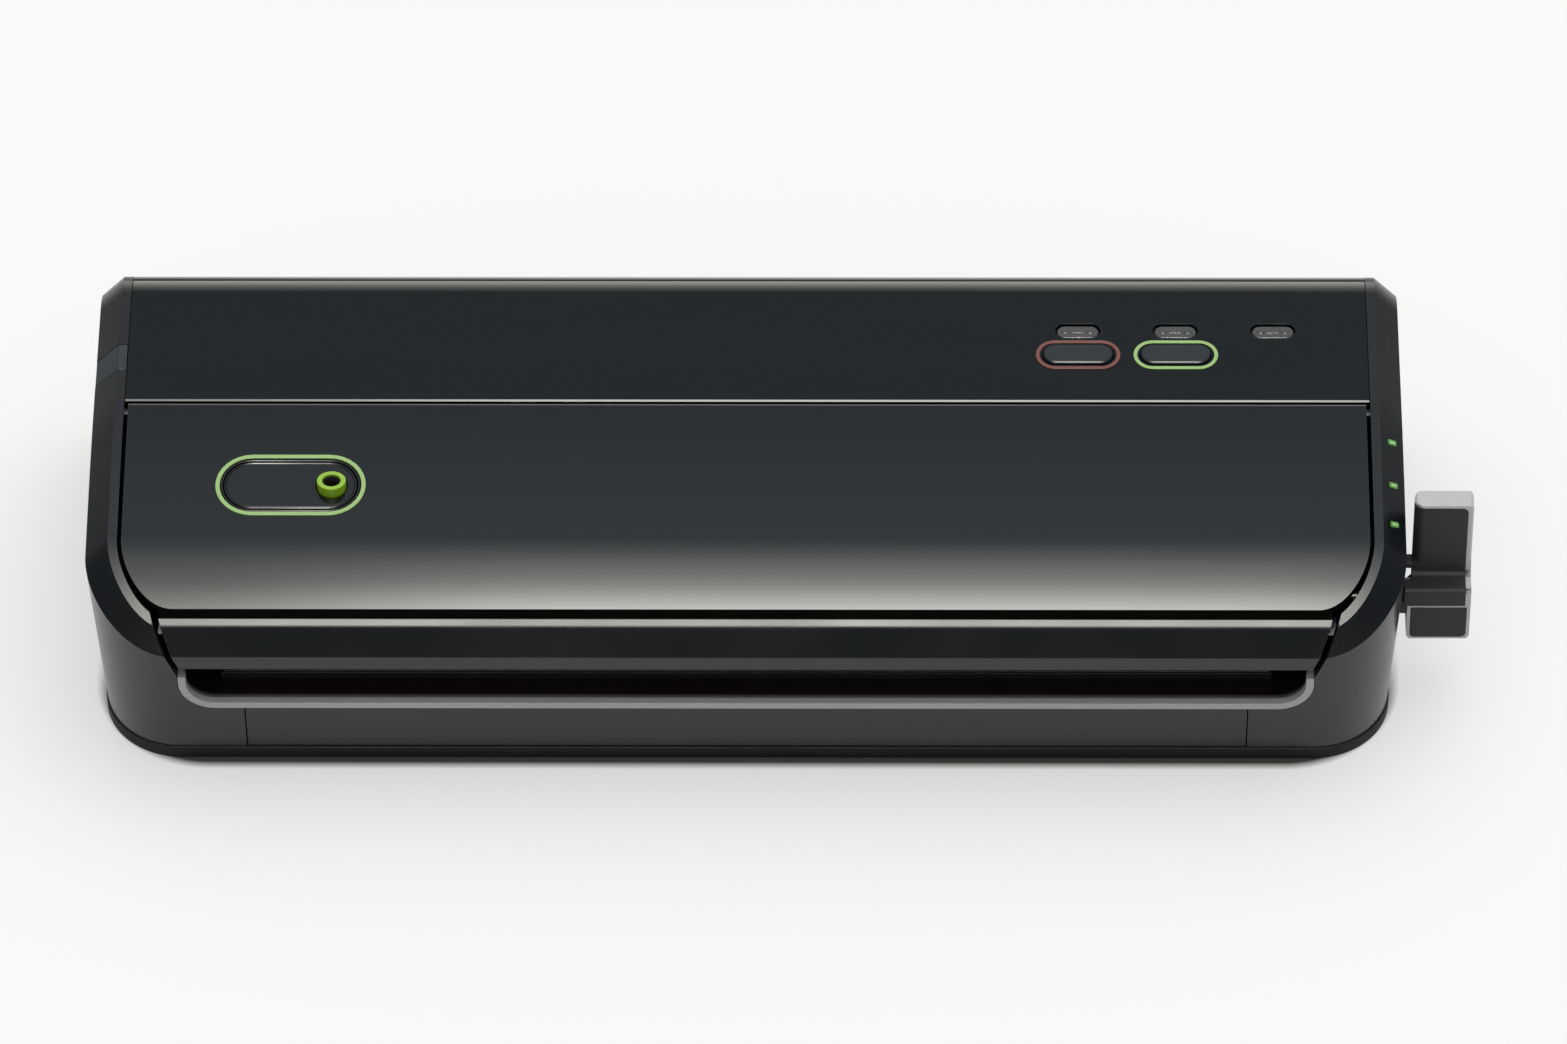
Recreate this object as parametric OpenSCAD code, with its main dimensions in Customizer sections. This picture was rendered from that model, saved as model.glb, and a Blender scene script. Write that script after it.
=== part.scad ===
// Countertop vacuum sealer for food bags: housing, sealing deck, hinged lid, lever latch and inner works.
// Origin on the table under the middle of the housing. +X to the lever side, +Y to the back, +Z up.

/* [Housing] */
// Width over the two end caps
body_w = 380; // [366:1:400]
// Depth over the widest edge
body_d = 134; // [131:1:138]
// Height of the control panel above the table
body_h = 75; // [74:0.5:78]
// Wall of the moulded covers
wall = 2.5; // [2:0.1:3]
// Radius of the front corners, seen from above
corner_r = 25.6; // [23:0.2:28]
// Radius of the back edge of the top
back_r = 16; // [14:0.5:18]
// Inward lean of the walls from the widest edge down
wall_lean = 3.6; // [2.4:0.2:4.4]
// Width of the bevel along the sides
bevel_side = 6.8; // [5.8:0.2:7.4]
// Width of the bevel along the front
bevel_front = 3.3; // [2.8:0.1:3.8]
// Height of the bevel
bevel_drop = 7.8; // [6.6:0.2:8.6]
// Width of the flat rim between the bevel and the lid
rim_w = 2.7; // [2.2:0.1:3.2]
// Height of the housing's lower edge above the table
skirt_z = 5; // [4.5:0.1:5.5]
// Distance of the front panel's seams from the sides
front_seam_in = 45; // [40:1:55]

/* [Lid] */
// Where the lid meets the control panel, from the middle of the depth
seam_y = 6; // [5:0.2:7]
// Slope of the lid at the seam, in degrees
lid_slope = 3; // [2:0.2:4]
// Length of the lid's falling nose, front to back
nose_l = 25.6; // [24:0.2:27]
// Curvature radius of the nearly flat part
lid_bow_r = 450; // [400:10:600]
// Curvature radius of the lid's nose
nose_r = 21.7; // [21:0.1:24]
// Gap between the lid and the end caps
lid_gap = 1.2; // [0.9:0.1:1.5]
// Gap between the lid panel and the fascia rim
nose_gap = 3.4; // [3:0.1:3.8]
// Drop of the fascia's lower edge below the control panel
fascia_drop = 33.5; // [32.5:0.1:34.5]
// Distance of the fascia's upper corners from the sides
fascia_top_in = 22.4; // [21:0.2:24]
// Distance of the fascia's lower corners from the sides
fascia_low_in = 27; // [26:0.2:29]
// Radius of the rolled hinge edge
hinge_r = 3; // [2.8:0.1:3.2]
// Radius of the hinge pins
pin_r = 1.5; // [1.2:0.05:1.6]

/* [Deck] */
// Height of the deck's front lip
lip_z = 26.5; // [26:0.1:27.5]
// Thickness of the deck's rim
lip_t = 2.3; // [2:0.1:2.6]
// Radius of the rim where it turns up at both ends
rim_r = 10.5; // [9:0.5:12]
// Room beside the deck for the latch
latch_room = 26.4; // [26:0.2:28]
// Height of the deck's floor
deck_z = 25; // [24.6:0.1:25.2]
// Depth of the vacuum channel below the deck
channel_depth = 8; // [7:0.5:8.5]
// Width of the vacuum channel, front to back
channel_w = 28; // [26:1:30]
// Distance of the vacuum channel's ends from the sides
channel_in = 44; // [42:1:50]
// Distance of the seal bar's ends from the sides
seal_in = 38; // [36:1:42]
// Width of a gasket
gasket_w = 3.4; // [3:0.1:4]
// Height of the lower gasket
gasket_h = 3.2; // [2.8:0.1:3.6]

/* [Controls] */
// Length of a button cap
button_l = 20.2; // [18:0.2:21]
// Width of a button cap
button_w = 7.2; // [6:0.2:7.6]
// Travel of a button
button_travel = 0.8; // [0.6:0.1:1]
// Length over the outline trim of a button
trim_l = 24.6; // [24:0.2:26]
// Width over the outline trim of a button
trim_w = 11.4; // [10.8:0.2:12]
// Distance between neighbouring controls
control_pitch = 28.4; // [28:0.2:30]
// Length of a clear window
window_l = 12.2; // [11:0.2:13]
// Width of a clear window
window_w = 4.8; // [4.2:0.2:5.2]
// Length over the accessory outline
port_trim_l = 43.4; // [40:0.2:46]
// Width over the accessory outline
port_trim_w = 21.5; // [20:0.2:23]
// Outer radius of the accessory port
port_r = 4.05; // [3.8:0.05:4.3]
// Radius of the accessory port's hole
port_hole_r = 2.25; // [2:0.05:2.5]

/* [Latch] */
// Outward reach of the lever from the widest edge
lever_reach = 19.6; // [18:0.2:22]
// Height of the lever's tip above its axis
lever_up = 35; // [32:0.5:36]
// Distance of the lever's axis behind the widest front edge
lever_back = 37; // [35:0.5:38]
// Height of the lever's axis
lever_z = 33.5; // [33:0.1:34]
// Turn of the lever from open to lock, in degrees
lever_turn = 42; // [36:1:42]
// Radius of the lever's shaft
lever_shaft_r = 4; // [3.5:0.1:4.5]
// Height of the cross shaft's axis
cross_z = 11.5; // [11.3:0.1:11.6]
// Radius of the cross shaft
cross_r = 2.5; // [2.2:0.1:2.6]
// Length of the cranks
crank_l = 9; // [8:0.2:10]

/* [Fits] */
// Radial gap of a shaft in its bearing
run_gap = 0.05; // [0.03:0.01:0.08]
// Gap round a seated piece
seat_gap = 0.2; // [0.1:0.05:0.3]
// Gap between pieces that move past each other
move_gap = 0.4; // [0.35:0.05:0.5]

/* [Hidden] */
$fn = 48;
eps = 0.01;

half_w = body_w / 2;
front_y = -body_d / 2;
back_y = body_d / 2;
round_y = back_y - back_r;
front_panel_half = half_w - front_seam_in;
fascia_z = body_h - fascia_drop;
fascia_top_half = half_w - fascia_top_in;
fascia_low_half = half_w - fascia_low_in;
deck_half = half_w - latch_room;
channel_half = half_w - channel_in;
seal_half = half_w - seal_in;
foot_t = skirt_z / 2;
tray_t = skirt_z - foot_t;

// Lid curve: a slightly bowed part, then a nose that falls away more and more.
knee_y = front_y + nose_l;
lid_flat = seam_y - knee_y;
knee_slope = tan(lid_slope) + lid_flat / lid_bow_r;
knee_z = body_h - lid_flat * tan(lid_slope) - pow(lid_flat, 2) / (2 * lid_bow_r);
function flat_z(s) = body_h - s * tan(lid_slope) - s * s / (2 * lid_bow_r);
function nose_z(s) = knee_z - s * knee_slope - s * s / (2 * nose_r);
function back_z(s) = body_h - back_r + sqrt(max(0, back_r * back_r - s * s));
function top_z(y) = y > round_y ? back_z(y - round_y) : y > seam_y ? body_h
    : y > knee_y ? flat_z(seam_y - y) : nose_z(knee_y - y);
function top_slope(y) = y > seam_y ? 0 : y > knee_y ? tan(lid_slope) + (seam_y - y) / lid_bow_r
    : knee_slope + (knee_y - y) / nose_r;

// Plan outlines step inwards from the widest edge: bevel, rim, gap, lid.
well_side = bevel_side + rim_w;
well_front = bevel_front + rim_w * 0.7;
lid_side = well_side + lid_gap;
lid_front = well_front + nose_gap * 0.7;
lid_half = half_w - lid_side;
lid_front_y = front_y + lid_front;
panel_half = half_w - well_side - seat_gap;

// Hinge axis just under the seam.
hinge_y = seam_y;
hinge_z = body_h - hinge_r - 0.1;
panel_edge_y = seam_y + 2.2;

// Vacuum channel and the rows on the deck, from the front to the back.
deck_front_y = front_y + 1;
partition_y = seam_y - 4;
partition_t = 2;
channel_y = front_y + 38;
gasket_in = 1.2;
gasket_reach = channel_w / 2 + gasket_w / 2 + gasket_in;
seal_bar_w = 6;
seal_y = channel_y - gasket_reach - gasket_w / 2 - seal_bar_w / 2 - 1.4;
liner_z = deck_z + gasket_h + move_gap + 3.8;
channel_floor_z = deck_z - channel_depth;
deck_t = 2.2;
floor_t = 3;
deck_low = deck_z - floor_t;
housing_in_y = front_y + wall_lean + wall;
cheek_x = deck_half + 0.5;
cheek_t = 2;
shelf_z = fascia_z - 4.2;

// Latch geometry.
lever_y = front_y + lever_back;
cross_y = lever_y;
catch_y = cross_y + 5;
catch_z = cross_z + 14.5;
catch_pin_r = 2;
catch_w = 10;
catch_y0 = catch_y - catch_w / 2;
catch_leg_w = 5.6;
catch_top_z = fascia_z + 14.3;
catch_arm = norm([catch_y - cross_y, catch_z - cross_z]);
catch_angle = atan2(catch_y - cross_y, catch_z - cross_z);
hook_in = catch_arm + catch_pin_r + move_gap;
hook_out = hook_in + 3.2;
nose_a0 = catch_angle - lever_turn - 9;
nose_len = 14;
hook_x = cheek_x + cheek_t + 2.2;
hook_t = 2.6;
lug_x = hook_x + hook_t + move_gap;
lug_t = 2.4;
crank_x = lug_x + lug_t + 1.4;
crank_t = 2.4;
link_x = crank_x + crank_t + move_gap;
link_t = 2;
crank_pin_r = 1.6;
crank_w = 5.2;
crease_z = top_z(lever_y) - bevel_drop;
wall_x = half_w - wall_lean * (crease_z - lever_z) / (crease_z - skirt_z);

// Controls.
control_x = half_w * 0.506;
button_xs = [control_x, control_x + control_pitch];
button_y = back_y - 40.5;
collar_h = 3;
cap_foot_t = 1.2;
cap_foot_z = body_h - wall - collar_h - cap_foot_t - 0.2;
window_y = button_y + 9.7;
board_z = body_h - 11;
port_y = seam_y - 29;
port_x = -(half_w - 58.8);
port_tube_x = port_x + port_trim_l / 2 - port_trim_w / 2;
port_slope = atan(top_slope(port_y));

// Pump and motor.
motor_y = back_y - 32;
motor_z = 31;
motor_r = 18;
motor_l = 52;
motor_x = -20;
pump_l = 42;
pump_w = 36;
pump_h = 32;
shaft_r = 2;
shaft_out = 24;
fan_r = 21;
fan_t = 9;
hose_r = 3.2;
hose_bore_r = 2;
hose_x = motor_x + motor_l / 2 + pump_l / 2;
hose_z = channel_floor_z + 3.6;
hose_run = motor_y - pump_w / 2 - channel_y - channel_w / 2 - deck_t;
valve_l = 0.4 * hose_run;
nipple_l = 0.27 * hose_run;

// ---------- shared shapes ----------

module yz(x0, x1) {
    translate([x0, 0, 0]) rotate([90, 0, 90]) linear_extrude(x1 - x0) children();
}

module xz(y0, y1) {
    translate([0, y1, 0]) rotate([90, 0, 0]) linear_extrude(y1 - y0) children();
}

module box(x0, x1, y0, y1, z0, z1) {
    translate([x0, y0, z0]) cube([x1 - x0, y1 - y0, z1 - z0]);
}

module both_sides() {
    children();
    mirror([1, 0, 0]) children();
}

module x_rod(x0, x1, y, z, r) {
    translate([x0, y, z]) rotate([0, 90, 0]) cylinder(r = r, h = x1 - x0);
}

module z_rod(x, y, z0, z1, r) {
    translate([x, y, z0]) cylinder(r = r, h = z1 - z0);
}

module pill(l, w) {
    square([l - w, w], center = true);
    for (s = [-1, 1]) translate([s * (l - w) / 2, 0]) circle(d = w);
}

module pill_ring(l, w, t) {
    difference() {
        pill(l, w);
        pill(l - 2 * t, w - 2 * t);
    }
}

module rounded(w, d, r) {
    square([w - 2 * r, d], center = true);
    square([w, d - 2 * r], center = true);
    for (i = [-1, 1], j = [-1, 1]) translate([i * (w / 2 - r), j * (d / 2 - r)]) circle(r);
}

// Outline seen from above, stepped in by dx at the sides and dy at the front.
corner_steps = 10;
function corner_point(a, dx, dy) = [
    half_w - corner_r + (corner_r - dx) * cos(a),
    front_y + corner_r + (corner_r - dy) * sin(a)];
function right_outline(dx, dy, y1) = concat(
    [for (i = [0:corner_steps]) corner_point(-90 + 90 * i / corner_steps, dx, dy)],
    [[half_w - dx, y1]]);
function mirrored(points) = [for (i = [len(points) - 1:-1:0]) [-points[i][0], points[i][1]]];

module plan(dx, dy, y1) {
    right = right_outline(dx, dy, y1);
    polygon(concat(right, mirrored(right)));
}

// Section of the top surface from y0 to y1, t thick, between offsets from the surface.
section_step = 3;
function top_run(y0, y1, drop) = let (n = max(1, ceil((y1 - y0) / section_step)))
    [for (i = [0:n]) let (y = y0 + (y1 - y0) * i / n) [y, top_z(y) - drop]];

module top_section(y0, y1, drop0, drop1) {
    lower = top_run(y0, y1, drop1);
    polygon(concat(top_run(y0, y1, drop0), [for (i = [len(lower) - 1:-1:0]) lower[i]]));
}

// Solid of the whole housing: a leaning wall, a bevel and the top surface, with w taken off all over.
side_steps = 14;
back_steps = 8;
stations = concat(
    [for (i = [0:corner_steps]) let (a = -90 + 90 * i / corner_steps)
        [half_w - corner_r * (1 - cos(a)), front_y + corner_r * (1 + sin(a)), cos(a), sin(a)]],
    [for (i = [1:side_steps])
        [half_w, front_y + corner_r + (round_y - front_y - corner_r) * i / side_steps, 1, 0]],
    [for (i = [1:back_steps]) [half_w, round_y + back_r * sin(90 * i / back_steps), 1, 0]]);
station_count = len(stations);
function stepped(s, dx, dy, z) = [s[0] - dx * s[2], s[1] - dy * s[3], z];
function rim_height(s) = top_z(s[1] - bevel_front * s[3]);
function ring(level, w, floor_z) = [for (s = stations)
    level == 0 ? stepped(s, wall_lean + w, wall_lean + w, floor_z)
    : level == 1 ? stepped(s, w, w, rim_height(s) - bevel_drop - 0.4 * w)
    : stepped(s, bevel_side + 0.4 * w, bevel_front + 0.4 * w, rim_height(s) - w)];
function flipped(points) = [for (p = points) [-p[0], p[1], p[2]]];

module housing_form(w, floor_z) {
    n = station_count;
    points = concat(ring(0, w, floor_z), ring(1, w, floor_z), ring(2, w, floor_z),
        flipped(ring(0, w, floor_z)), flipped(ring(1, w, floor_z)), flipped(ring(2, w, floor_z)));
    function right(level, i) = level * n + i;
    function left(level, i) = (level + 3) * n + i;
    side_faces = [for (level = [0, 1], i = [0:n - 2]) each [
        [right(level, i), right(level + 1, i), right(level + 1, i + 1)],
        [right(level, i), right(level + 1, i + 1), right(level, i + 1)],
        [left(level, i), left(level + 1, i + 1), left(level + 1, i)],
        [left(level, i), left(level, i + 1), left(level + 1, i + 1)]]];
    cross_faces = [for (i = [0:n - 2]) each [
        [right(2, i), left(2, i), left(2, i + 1), right(2, i + 1)],
        [right(0, i), right(0, i + 1), left(0, i + 1), left(0, i)]]];
    end_faces = [for (level = [0, 1]) each [
        [right(level, 0), left(level, 0), left(level + 1, 0), right(level + 1, 0)],
        [right(level, n - 1), right(level + 1, n - 1), left(level + 1, n - 1), left(level, n - 1)]]];
    polyhedron(points, concat(side_faces, cross_faces, end_faces), convexity = 6);
}

// ---------- housing ----------

screw_x = half_w - 22;
screw_front_y = front_y + 15;
screw_back_y = back_y - 12;
base_screw_points = [[-screw_x, screw_front_y], [screw_x, screw_front_y],
    [-screw_x, screw_back_y], [screw_x, screw_back_y]];
screw_r = 1.4;
screw_head_r = 2.9;
screw_head_t = 1.6;
screw_l = 10;
boss_r = 3.6;
tray_in = wall + 0.1;
foot_r = 7;
foot_x = half_w - 40;
foot_points = [[0, 0], [-foot_x, front_y + 18], [foot_x, front_y + 18],
    [-foot_x, back_y - 14], [foot_x, back_y - 14]];
board_x = -(half_w - 72);
board_l = 84;
board_w = 40;
board_t = 1.6;
board_lift = 6;
board_dx = board_l / 2 - 4;
board_dy = board_w / 2 - 4;
board_points = [for (i = [-1, 1], j = [-1, 1]) [board_x + i * board_dx, motor_y + j * board_dy]];
trafo_x = half_w - 92;
trafo_l = 46;
trafo_w = 40;
trafo_h = 38;
core_w = 26;
rail_w = 6;
rail_h = 3;
deck_rib_y = channel_w / 2 - 1;
air_slot_l = 20;
air_slot_w = 2.4;
air_slot_pitch = 5;
plinth_in = wall_lean + 0.2;
plinth_z = 0.8;

module base_tray() {
    color([0.13, 0.13, 0.14]) difference() {
        union() {
            translate([0, 0, foot_t]) linear_extrude(tray_t)
                plan(wall_lean + tray_in, wall_lean + tray_in, back_y - tray_in);
            // Plinth round the front and the sides, open at the back for the cooling air
            translate([0, 0, plinth_z]) linear_extrude(skirt_z - seat_gap - plinth_z) difference() {
                plan(plinth_in, plinth_in, round_y);
                plan(plinth_in + 3, plinth_in + 3, back_y);
            }
            for (p = board_points) z_rod(p[0], p[1], skirt_z - eps, skirt_z + board_lift, 3);
            // Rails under the transformer, ribs under the vacuum channel
            for (s = [-1, 1]) translate([trafo_x, motor_y + s * trafo_w * 0.35, skirt_z + (rail_h - eps) / 2])
                cube([trafo_l, rail_w, rail_h + eps], center = true);
            for (s = [-1, 1]) box(-channel_half + 6, channel_half - 6, channel_y + s * deck_rib_y - 1,
                channel_y + s * deck_rib_y + 1, skirt_z - eps, channel_floor_z - deck_t - seat_gap);
        }
        for (p = base_screw_points) {
            z_rod(p[0], p[1], foot_t - 1, skirt_z + 1, screw_r + run_gap);
            z_rod(p[0], p[1], foot_t - 1, foot_t + screw_head_t, screw_head_r + seat_gap);
        }
        for (p = board_points) z_rod(p[0], p[1], skirt_z + 1, skirt_z + board_lift + 1, 1.1);
        // Slots that let the cooling air in
        for (i = [-4:4])
            translate([motor_x - motor_l / 2 - shaft_out + i * air_slot_pitch, motor_y, foot_t - 1])
            linear_extrude(tray_t + 2) pill_slot(air_slot_l + 2, air_slot_w);
    }
}

module pill_slot(l, w) {
    rotate(90) pill(l, w);
}

// Part of the housing form that belongs to an end cap: the whole side and a return round the front corner.
module cap_region() {
    box(half_w - well_side, half_w + 1, front_y - 1, back_y + 1, skirt_z - 1, body_h + 1);
    box(front_panel_half, half_w + 1, front_y - 1, front_y + corner_r + 4, skirt_z - 1, body_h + 1);
}

// Space the lid sweeps through, above the shelf, seen from above.
module lid_well() {
    translate([0, 0, shelf_z]) linear_extrude(body_h) plan(well_side, well_front, back_y + 5);
}

// Front opening between the end caps: wider at the top, with the deck's rounded rim at the bottom.
fascia_gap = 1.9;
module front_opening() {
    top = top_z(front_y + bevel_front);
    slant = (fascia_top_half - fascia_low_half) / (top - fascia_z);
    low = fascia_low_half + fascia_gap - slant * (fascia_z - shelf_z);
    high = fascia_low_half + fascia_gap + slant * (body_h - fascia_z);
    xz(front_y - 5, front_y + 12)
        polygon([[-low, shelf_z], [-high, body_h], [high, body_h], [low, shelf_z]]);
}

module deck_outline(grow) {
    low = lip_z - lip_t - grow;
    r = rim_r + grow;
    x = deck_half + grow;
    translate([-x, low + r]) square([2 * x, shelf_z + 20 - low - r]);
    translate([-x + r, low]) square([2 * (x - r), r + eps]);
    for (s = [-1, 1]) translate([s * (x - r), low + r]) circle(r);
}

module cap_shell() {
    difference() {
        intersection() {
            housing_form(0, skirt_z);
            cap_region();
        }
        difference() {
            housing_form(wall, skirt_z + 2);
            box(-half_w, half_w, back_y - wall, back_y + 5, 0, body_h + 5);
        }
        lid_well();
        front_opening();
        xz(front_y - 5, front_y + 12) deck_outline(seat_gap);
    }
}

shaft_boss_r = lever_shaft_r + 3;
module cap_inside() {
    // Cheek beside the deck, shelf over the latch room, bosses for screws and the hinge pin
    difference() {
        union() {
            box(cheek_x, cheek_x + cheek_t, front_y + wall + 2, partition_y - 0.3, skirt_z, shelf_z);
            intersection() {
                housing_form(wall - eps, skirt_z);
                box(cheek_x, half_w, front_y + 2, partition_y - 0.3, shelf_z - 2, shelf_z);
            }
            box(cheek_x, half_w - wall_lean - wall, front_y + corner_r + 4, partition_y - 0.3,
                skirt_z, skirt_z + 2);
            z_rod(screw_x, screw_front_y, skirt_z, skirt_z + 12, boss_r);
            intersection() {
                housing_form(wall - eps, skirt_z);
                x_rod(half_w - well_side, half_w, hinge_y, hinge_z, pin_r + 2);
            }
            intersection() {
                housing_form(wall - eps, skirt_z);
                box(half_w - well_side, half_w, hinge_y - 2, hinge_y + 2, hinge_z - 8, hinge_z);
            }
        }
        // Slot for the lid's catch
        box(hook_x - 0.8, lug_x + lug_t + 1.4, catch_y - 24, catch_y + 4.5, shelf_z - 5, shelf_z + 1);
        // Bearing of the cross shaft
        x_rod(cheek_x - 1, cheek_x + cheek_t + 1, cross_y, cross_z, cross_r + run_gap);
        xz(front_y - 5, front_y + 12) deck_outline(seat_gap);
    }
}

module cap_holes() {
    x_rod(half_w - well_side - 1, half_w - 6.2, hinge_y, hinge_z, pin_r);
    z_rod(screw_x, screw_front_y, skirt_z - 1, skirt_z + 11, screw_r + run_gap);
}

inset_y0 = back_y - 46.6;
inset_l = 10.2;
module inset_block(grow) {
    box(half_w - well_side - 1, half_w + 1, inset_y0 - grow, inset_y0 + inset_l + grow,
        body_h - bevel_drop - 0.6 - grow, body_h + 1);
}

module left_end_cap() {
    color([0.20, 0.22, 0.24]) mirror([1, 0, 0]) difference() {
        union() {
            cap_shell();
            cap_inside();
        }
        cap_holes();
        inset_block(0);
    }
}

module left_cap_inset() {
    color([0.27, 0.30, 0.33]) mirror([1, 0, 0]) intersection() {
        difference() {
            housing_form(0, skirt_z);
            housing_form(wall, skirt_z - 1);
        }
        box(half_w - well_side, half_w + 1, inset_y0 + 0.12, inset_y0 + inset_l - 0.12,
            body_h - bevel_drop - 0.5, body_h + 1);
    }
}

mark_points = [front_y + 33.8, front_y + 47.5, front_y + 63];
mark_w = 2.7;
mark_l = 2.4;
module mark_block(y, grow, lift) {
    translate([half_w - bevel_side / 2, y, top_z(y) - bevel_drop / 2])
        rotate([atan(top_slope(y)), 0, 0]) rotate([0, atan(bevel_drop / bevel_side), 0])
        translate([0, 0, lift / 2 - 0.5])
        cube([mark_w + 2 * grow, mark_l + 2 * grow, 1 + lift], center = true);
}

module right_end_cap() {
    color([0.20, 0.22, 0.24]) difference() {
        union() {
            cap_shell();
            cap_inside();
            x_rod(link_x + link_t + 1.2, wall_x - 1, lever_y, lever_z, shaft_boss_r);
        }
        cap_holes();
        x_rod(link_x, half_w + 1, lever_y, lever_z, lever_shaft_r + run_gap);
        for (y = mark_points) mark_block(y, 0.08, 2);
        // Window in the shelf that clears the crank and the link
        box(crank_x - 1, link_x + link_t + 0.8, lever_y - crank_l - 4, lever_y + 6,
            shelf_z - 3, shelf_z + 1);
    }
}

module position_marks() {
    color([0.45, 0.72, 0.22]) for (y = mark_points) mark_block(y, 0, 0.25);
}

front_panel_z = lip_z - lip_t - 0.4;
front_rib_pitch = front_panel_half / 2 - 12.5;
module front_panel() {
    color([0.24, 0.25, 0.26]) {
        intersection() {
            difference() {
                housing_form(0, skirt_z);
                housing_form(wall, skirt_z + 2);
            }
            box(-front_panel_half + seat_gap, front_panel_half - seat_gap, front_y - 1, front_y + 14,
                skirt_z - 1, front_panel_z);
        }
        // Ribs that carry the deck's front edge
        for (i = [-2:2]) box(i * front_rib_pitch - 1, i * front_rib_pitch + 1, housing_in_y - 0.6,
            front_y + 14, skirt_z + 2 - eps, deck_low - 0.3);
    }
}

rear_top_z = body_h - back_r - 3;
vent_count = 14;
gland_x = -(half_w - 50);
gland_z = 22;
gland_r = 7;
cord_r = 3.4;
rear_screw_z = rear_top_z - 16;
rear_screw_points = [for (x = [-(half_w - 24), -(half_w - 130), half_w - 130, half_w - 24])
    [x, rear_screw_z]];
rear_flange_w = 12;
module rear_cover() {
    color([0.20, 0.21, 0.22]) difference() {
        union() {
            box(-panel_half, panel_half, back_y - wall, back_y, skirt_z, rear_top_z);
            box(-panel_half, panel_half, back_y - rear_flange_w, back_y - wall + eps, skirt_z, skirt_z + 2);
            for (p = rear_screw_points) xz_boss(p[0], p[1], back_y - 9, back_y - wall + eps, boss_r);
            for (s = [-1, 1]) z_rod(s * screw_x, screw_back_y, skirt_z, skirt_z + 12, boss_r);
        }
        for (s = [-1, 1]) z_rod(s * screw_x, screw_back_y, skirt_z - 1, skirt_z + 11, screw_r + run_gap);
        for (p = rear_screw_points) {
            xz_boss(p[0], p[1], back_y - 10, back_y + 1, screw_r + run_gap);
            xz_boss(p[0], p[1], back_y - screw_head_t, back_y + 1, screw_head_r + seat_gap);
        }
        xz_boss(gland_x, gland_z, back_y - wall - 1, back_y + 1, gland_r + seat_gap / 2);
        // Louvres for the motor's cooling air
        for (i = [0:vent_count - 1]) xz(back_y - wall - 1, back_y + 1)
            translate([motor_x + (i - (vent_count - 1) / 2) * air_slot_pitch, motor_z - 3])
            pill_slot(air_slot_l, air_slot_w);
    }
}

module xz_boss(x, z, y0, y1, r) {
    translate([x, y1, z]) rotate([90, 0, 0]) cylinder(r = r, h = y1 - y0);
}

module cord_gland() {
    color([0.10, 0.10, 0.11]) difference() {
        union() {
            xz_boss(gland_x, gland_z, back_y - wall - 4, back_y, gland_r);
            xz_boss(gland_x, gland_z, back_y + 0.1 - eps, back_y + 2, gland_r + 2);
            xz_boss(gland_x, gland_z, back_y - eps, back_y + 0.2, gland_r);
        }
        xz_boss(gland_x, gland_z, back_y - wall - 5, back_y + 3, cord_r);
    }
}

module rubber_feet() {
    color([0.07, 0.07, 0.07]) for (p = foot_points) z_rod(p[0], p[1], 0, foot_t, foot_r);
}

// Pan-head screw with a cross recess, its head's outer face at the origin
recess_l = 2.6;
recess_w = 0.7;
recess_d = 0.8;
module screw(length) {
    difference() {
        union() {
            cylinder(r = screw_head_r, h = screw_head_t - 0.1);
            translate([0, 0, screw_head_t - 0.1 - eps]) cylinder(r = screw_r, h = length);
        }
        for (a = [0, 90]) rotate(a) translate([0, 0, -eps]) linear_extrude(recess_d)
            square([recess_l, recess_w], center = true);
    }
}

module base_screws() {
    color([0.6, 0.6, 0.62]) for (p = base_screw_points) translate([p[0], p[1], foot_t + 0.1]) screw(screw_l);
}

module rear_screws() {
    color([0.6, 0.6, 0.62]) for (p = rear_screw_points)
        translate([p[0], back_y - 0.1, p[1]]) rotate([90, 0, 0]) screw(screw_l);
}

// Glossy cover of the controls: flat top, rounded back edge and a short drop down the back.
module back_shell_section(drop0, drop1) {
    difference() {
        union() {
            translate([round_y, body_h - back_r]) circle(back_r - drop0, $fn = 96);
            translate([panel_edge_y, body_h - 40]) square([round_y - panel_edge_y, 40 - drop0]);
            translate([round_y - 1, rear_top_z + seat_gap])
                square([back_r + 1 - drop0, body_h - back_r - rear_top_z - seat_gap]);
        }
        union() {
            translate([round_y, body_h - back_r]) circle(back_r - drop1, $fn = 96);
            translate([-100, body_h - 45]) square([round_y + 100, 45 - drop1]);
            translate([round_y - 1, 0]) square([back_r + 1 - drop1, body_h - back_r]);
        }
        translate([0, 0]) square([2 * back_y, 2 * (rear_top_z + seat_gap)], center = true);
    }
}

module control_panel() {
    color([0.05, 0.05, 0.06]) difference() {
        union() {
            yz(-panel_half, panel_half) back_shell_section(0, wall);
            // Collars that guide the buttons
            for (x = button_xs) translate([x, button_y, body_h - wall - collar_h])
                linear_extrude(collar_h + eps) pill(button_l + 4, button_w + 4);
        }
        x_rod(-half_w, half_w, hinge_y, hinge_z, hinge_r + move_gap);
        for (x = button_xs) translate([x, button_y, body_h - 10])
            linear_extrude(12) pill(button_l + 2 * move_gap, button_w + 2 * move_gap);
        for (i = [0:2]) translate([control_x + i * control_pitch, window_y, body_h - 10])
            linear_extrude(12) pill(window_l + 2 * seat_gap, window_w + 2 * seat_gap);
    }
}

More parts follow.
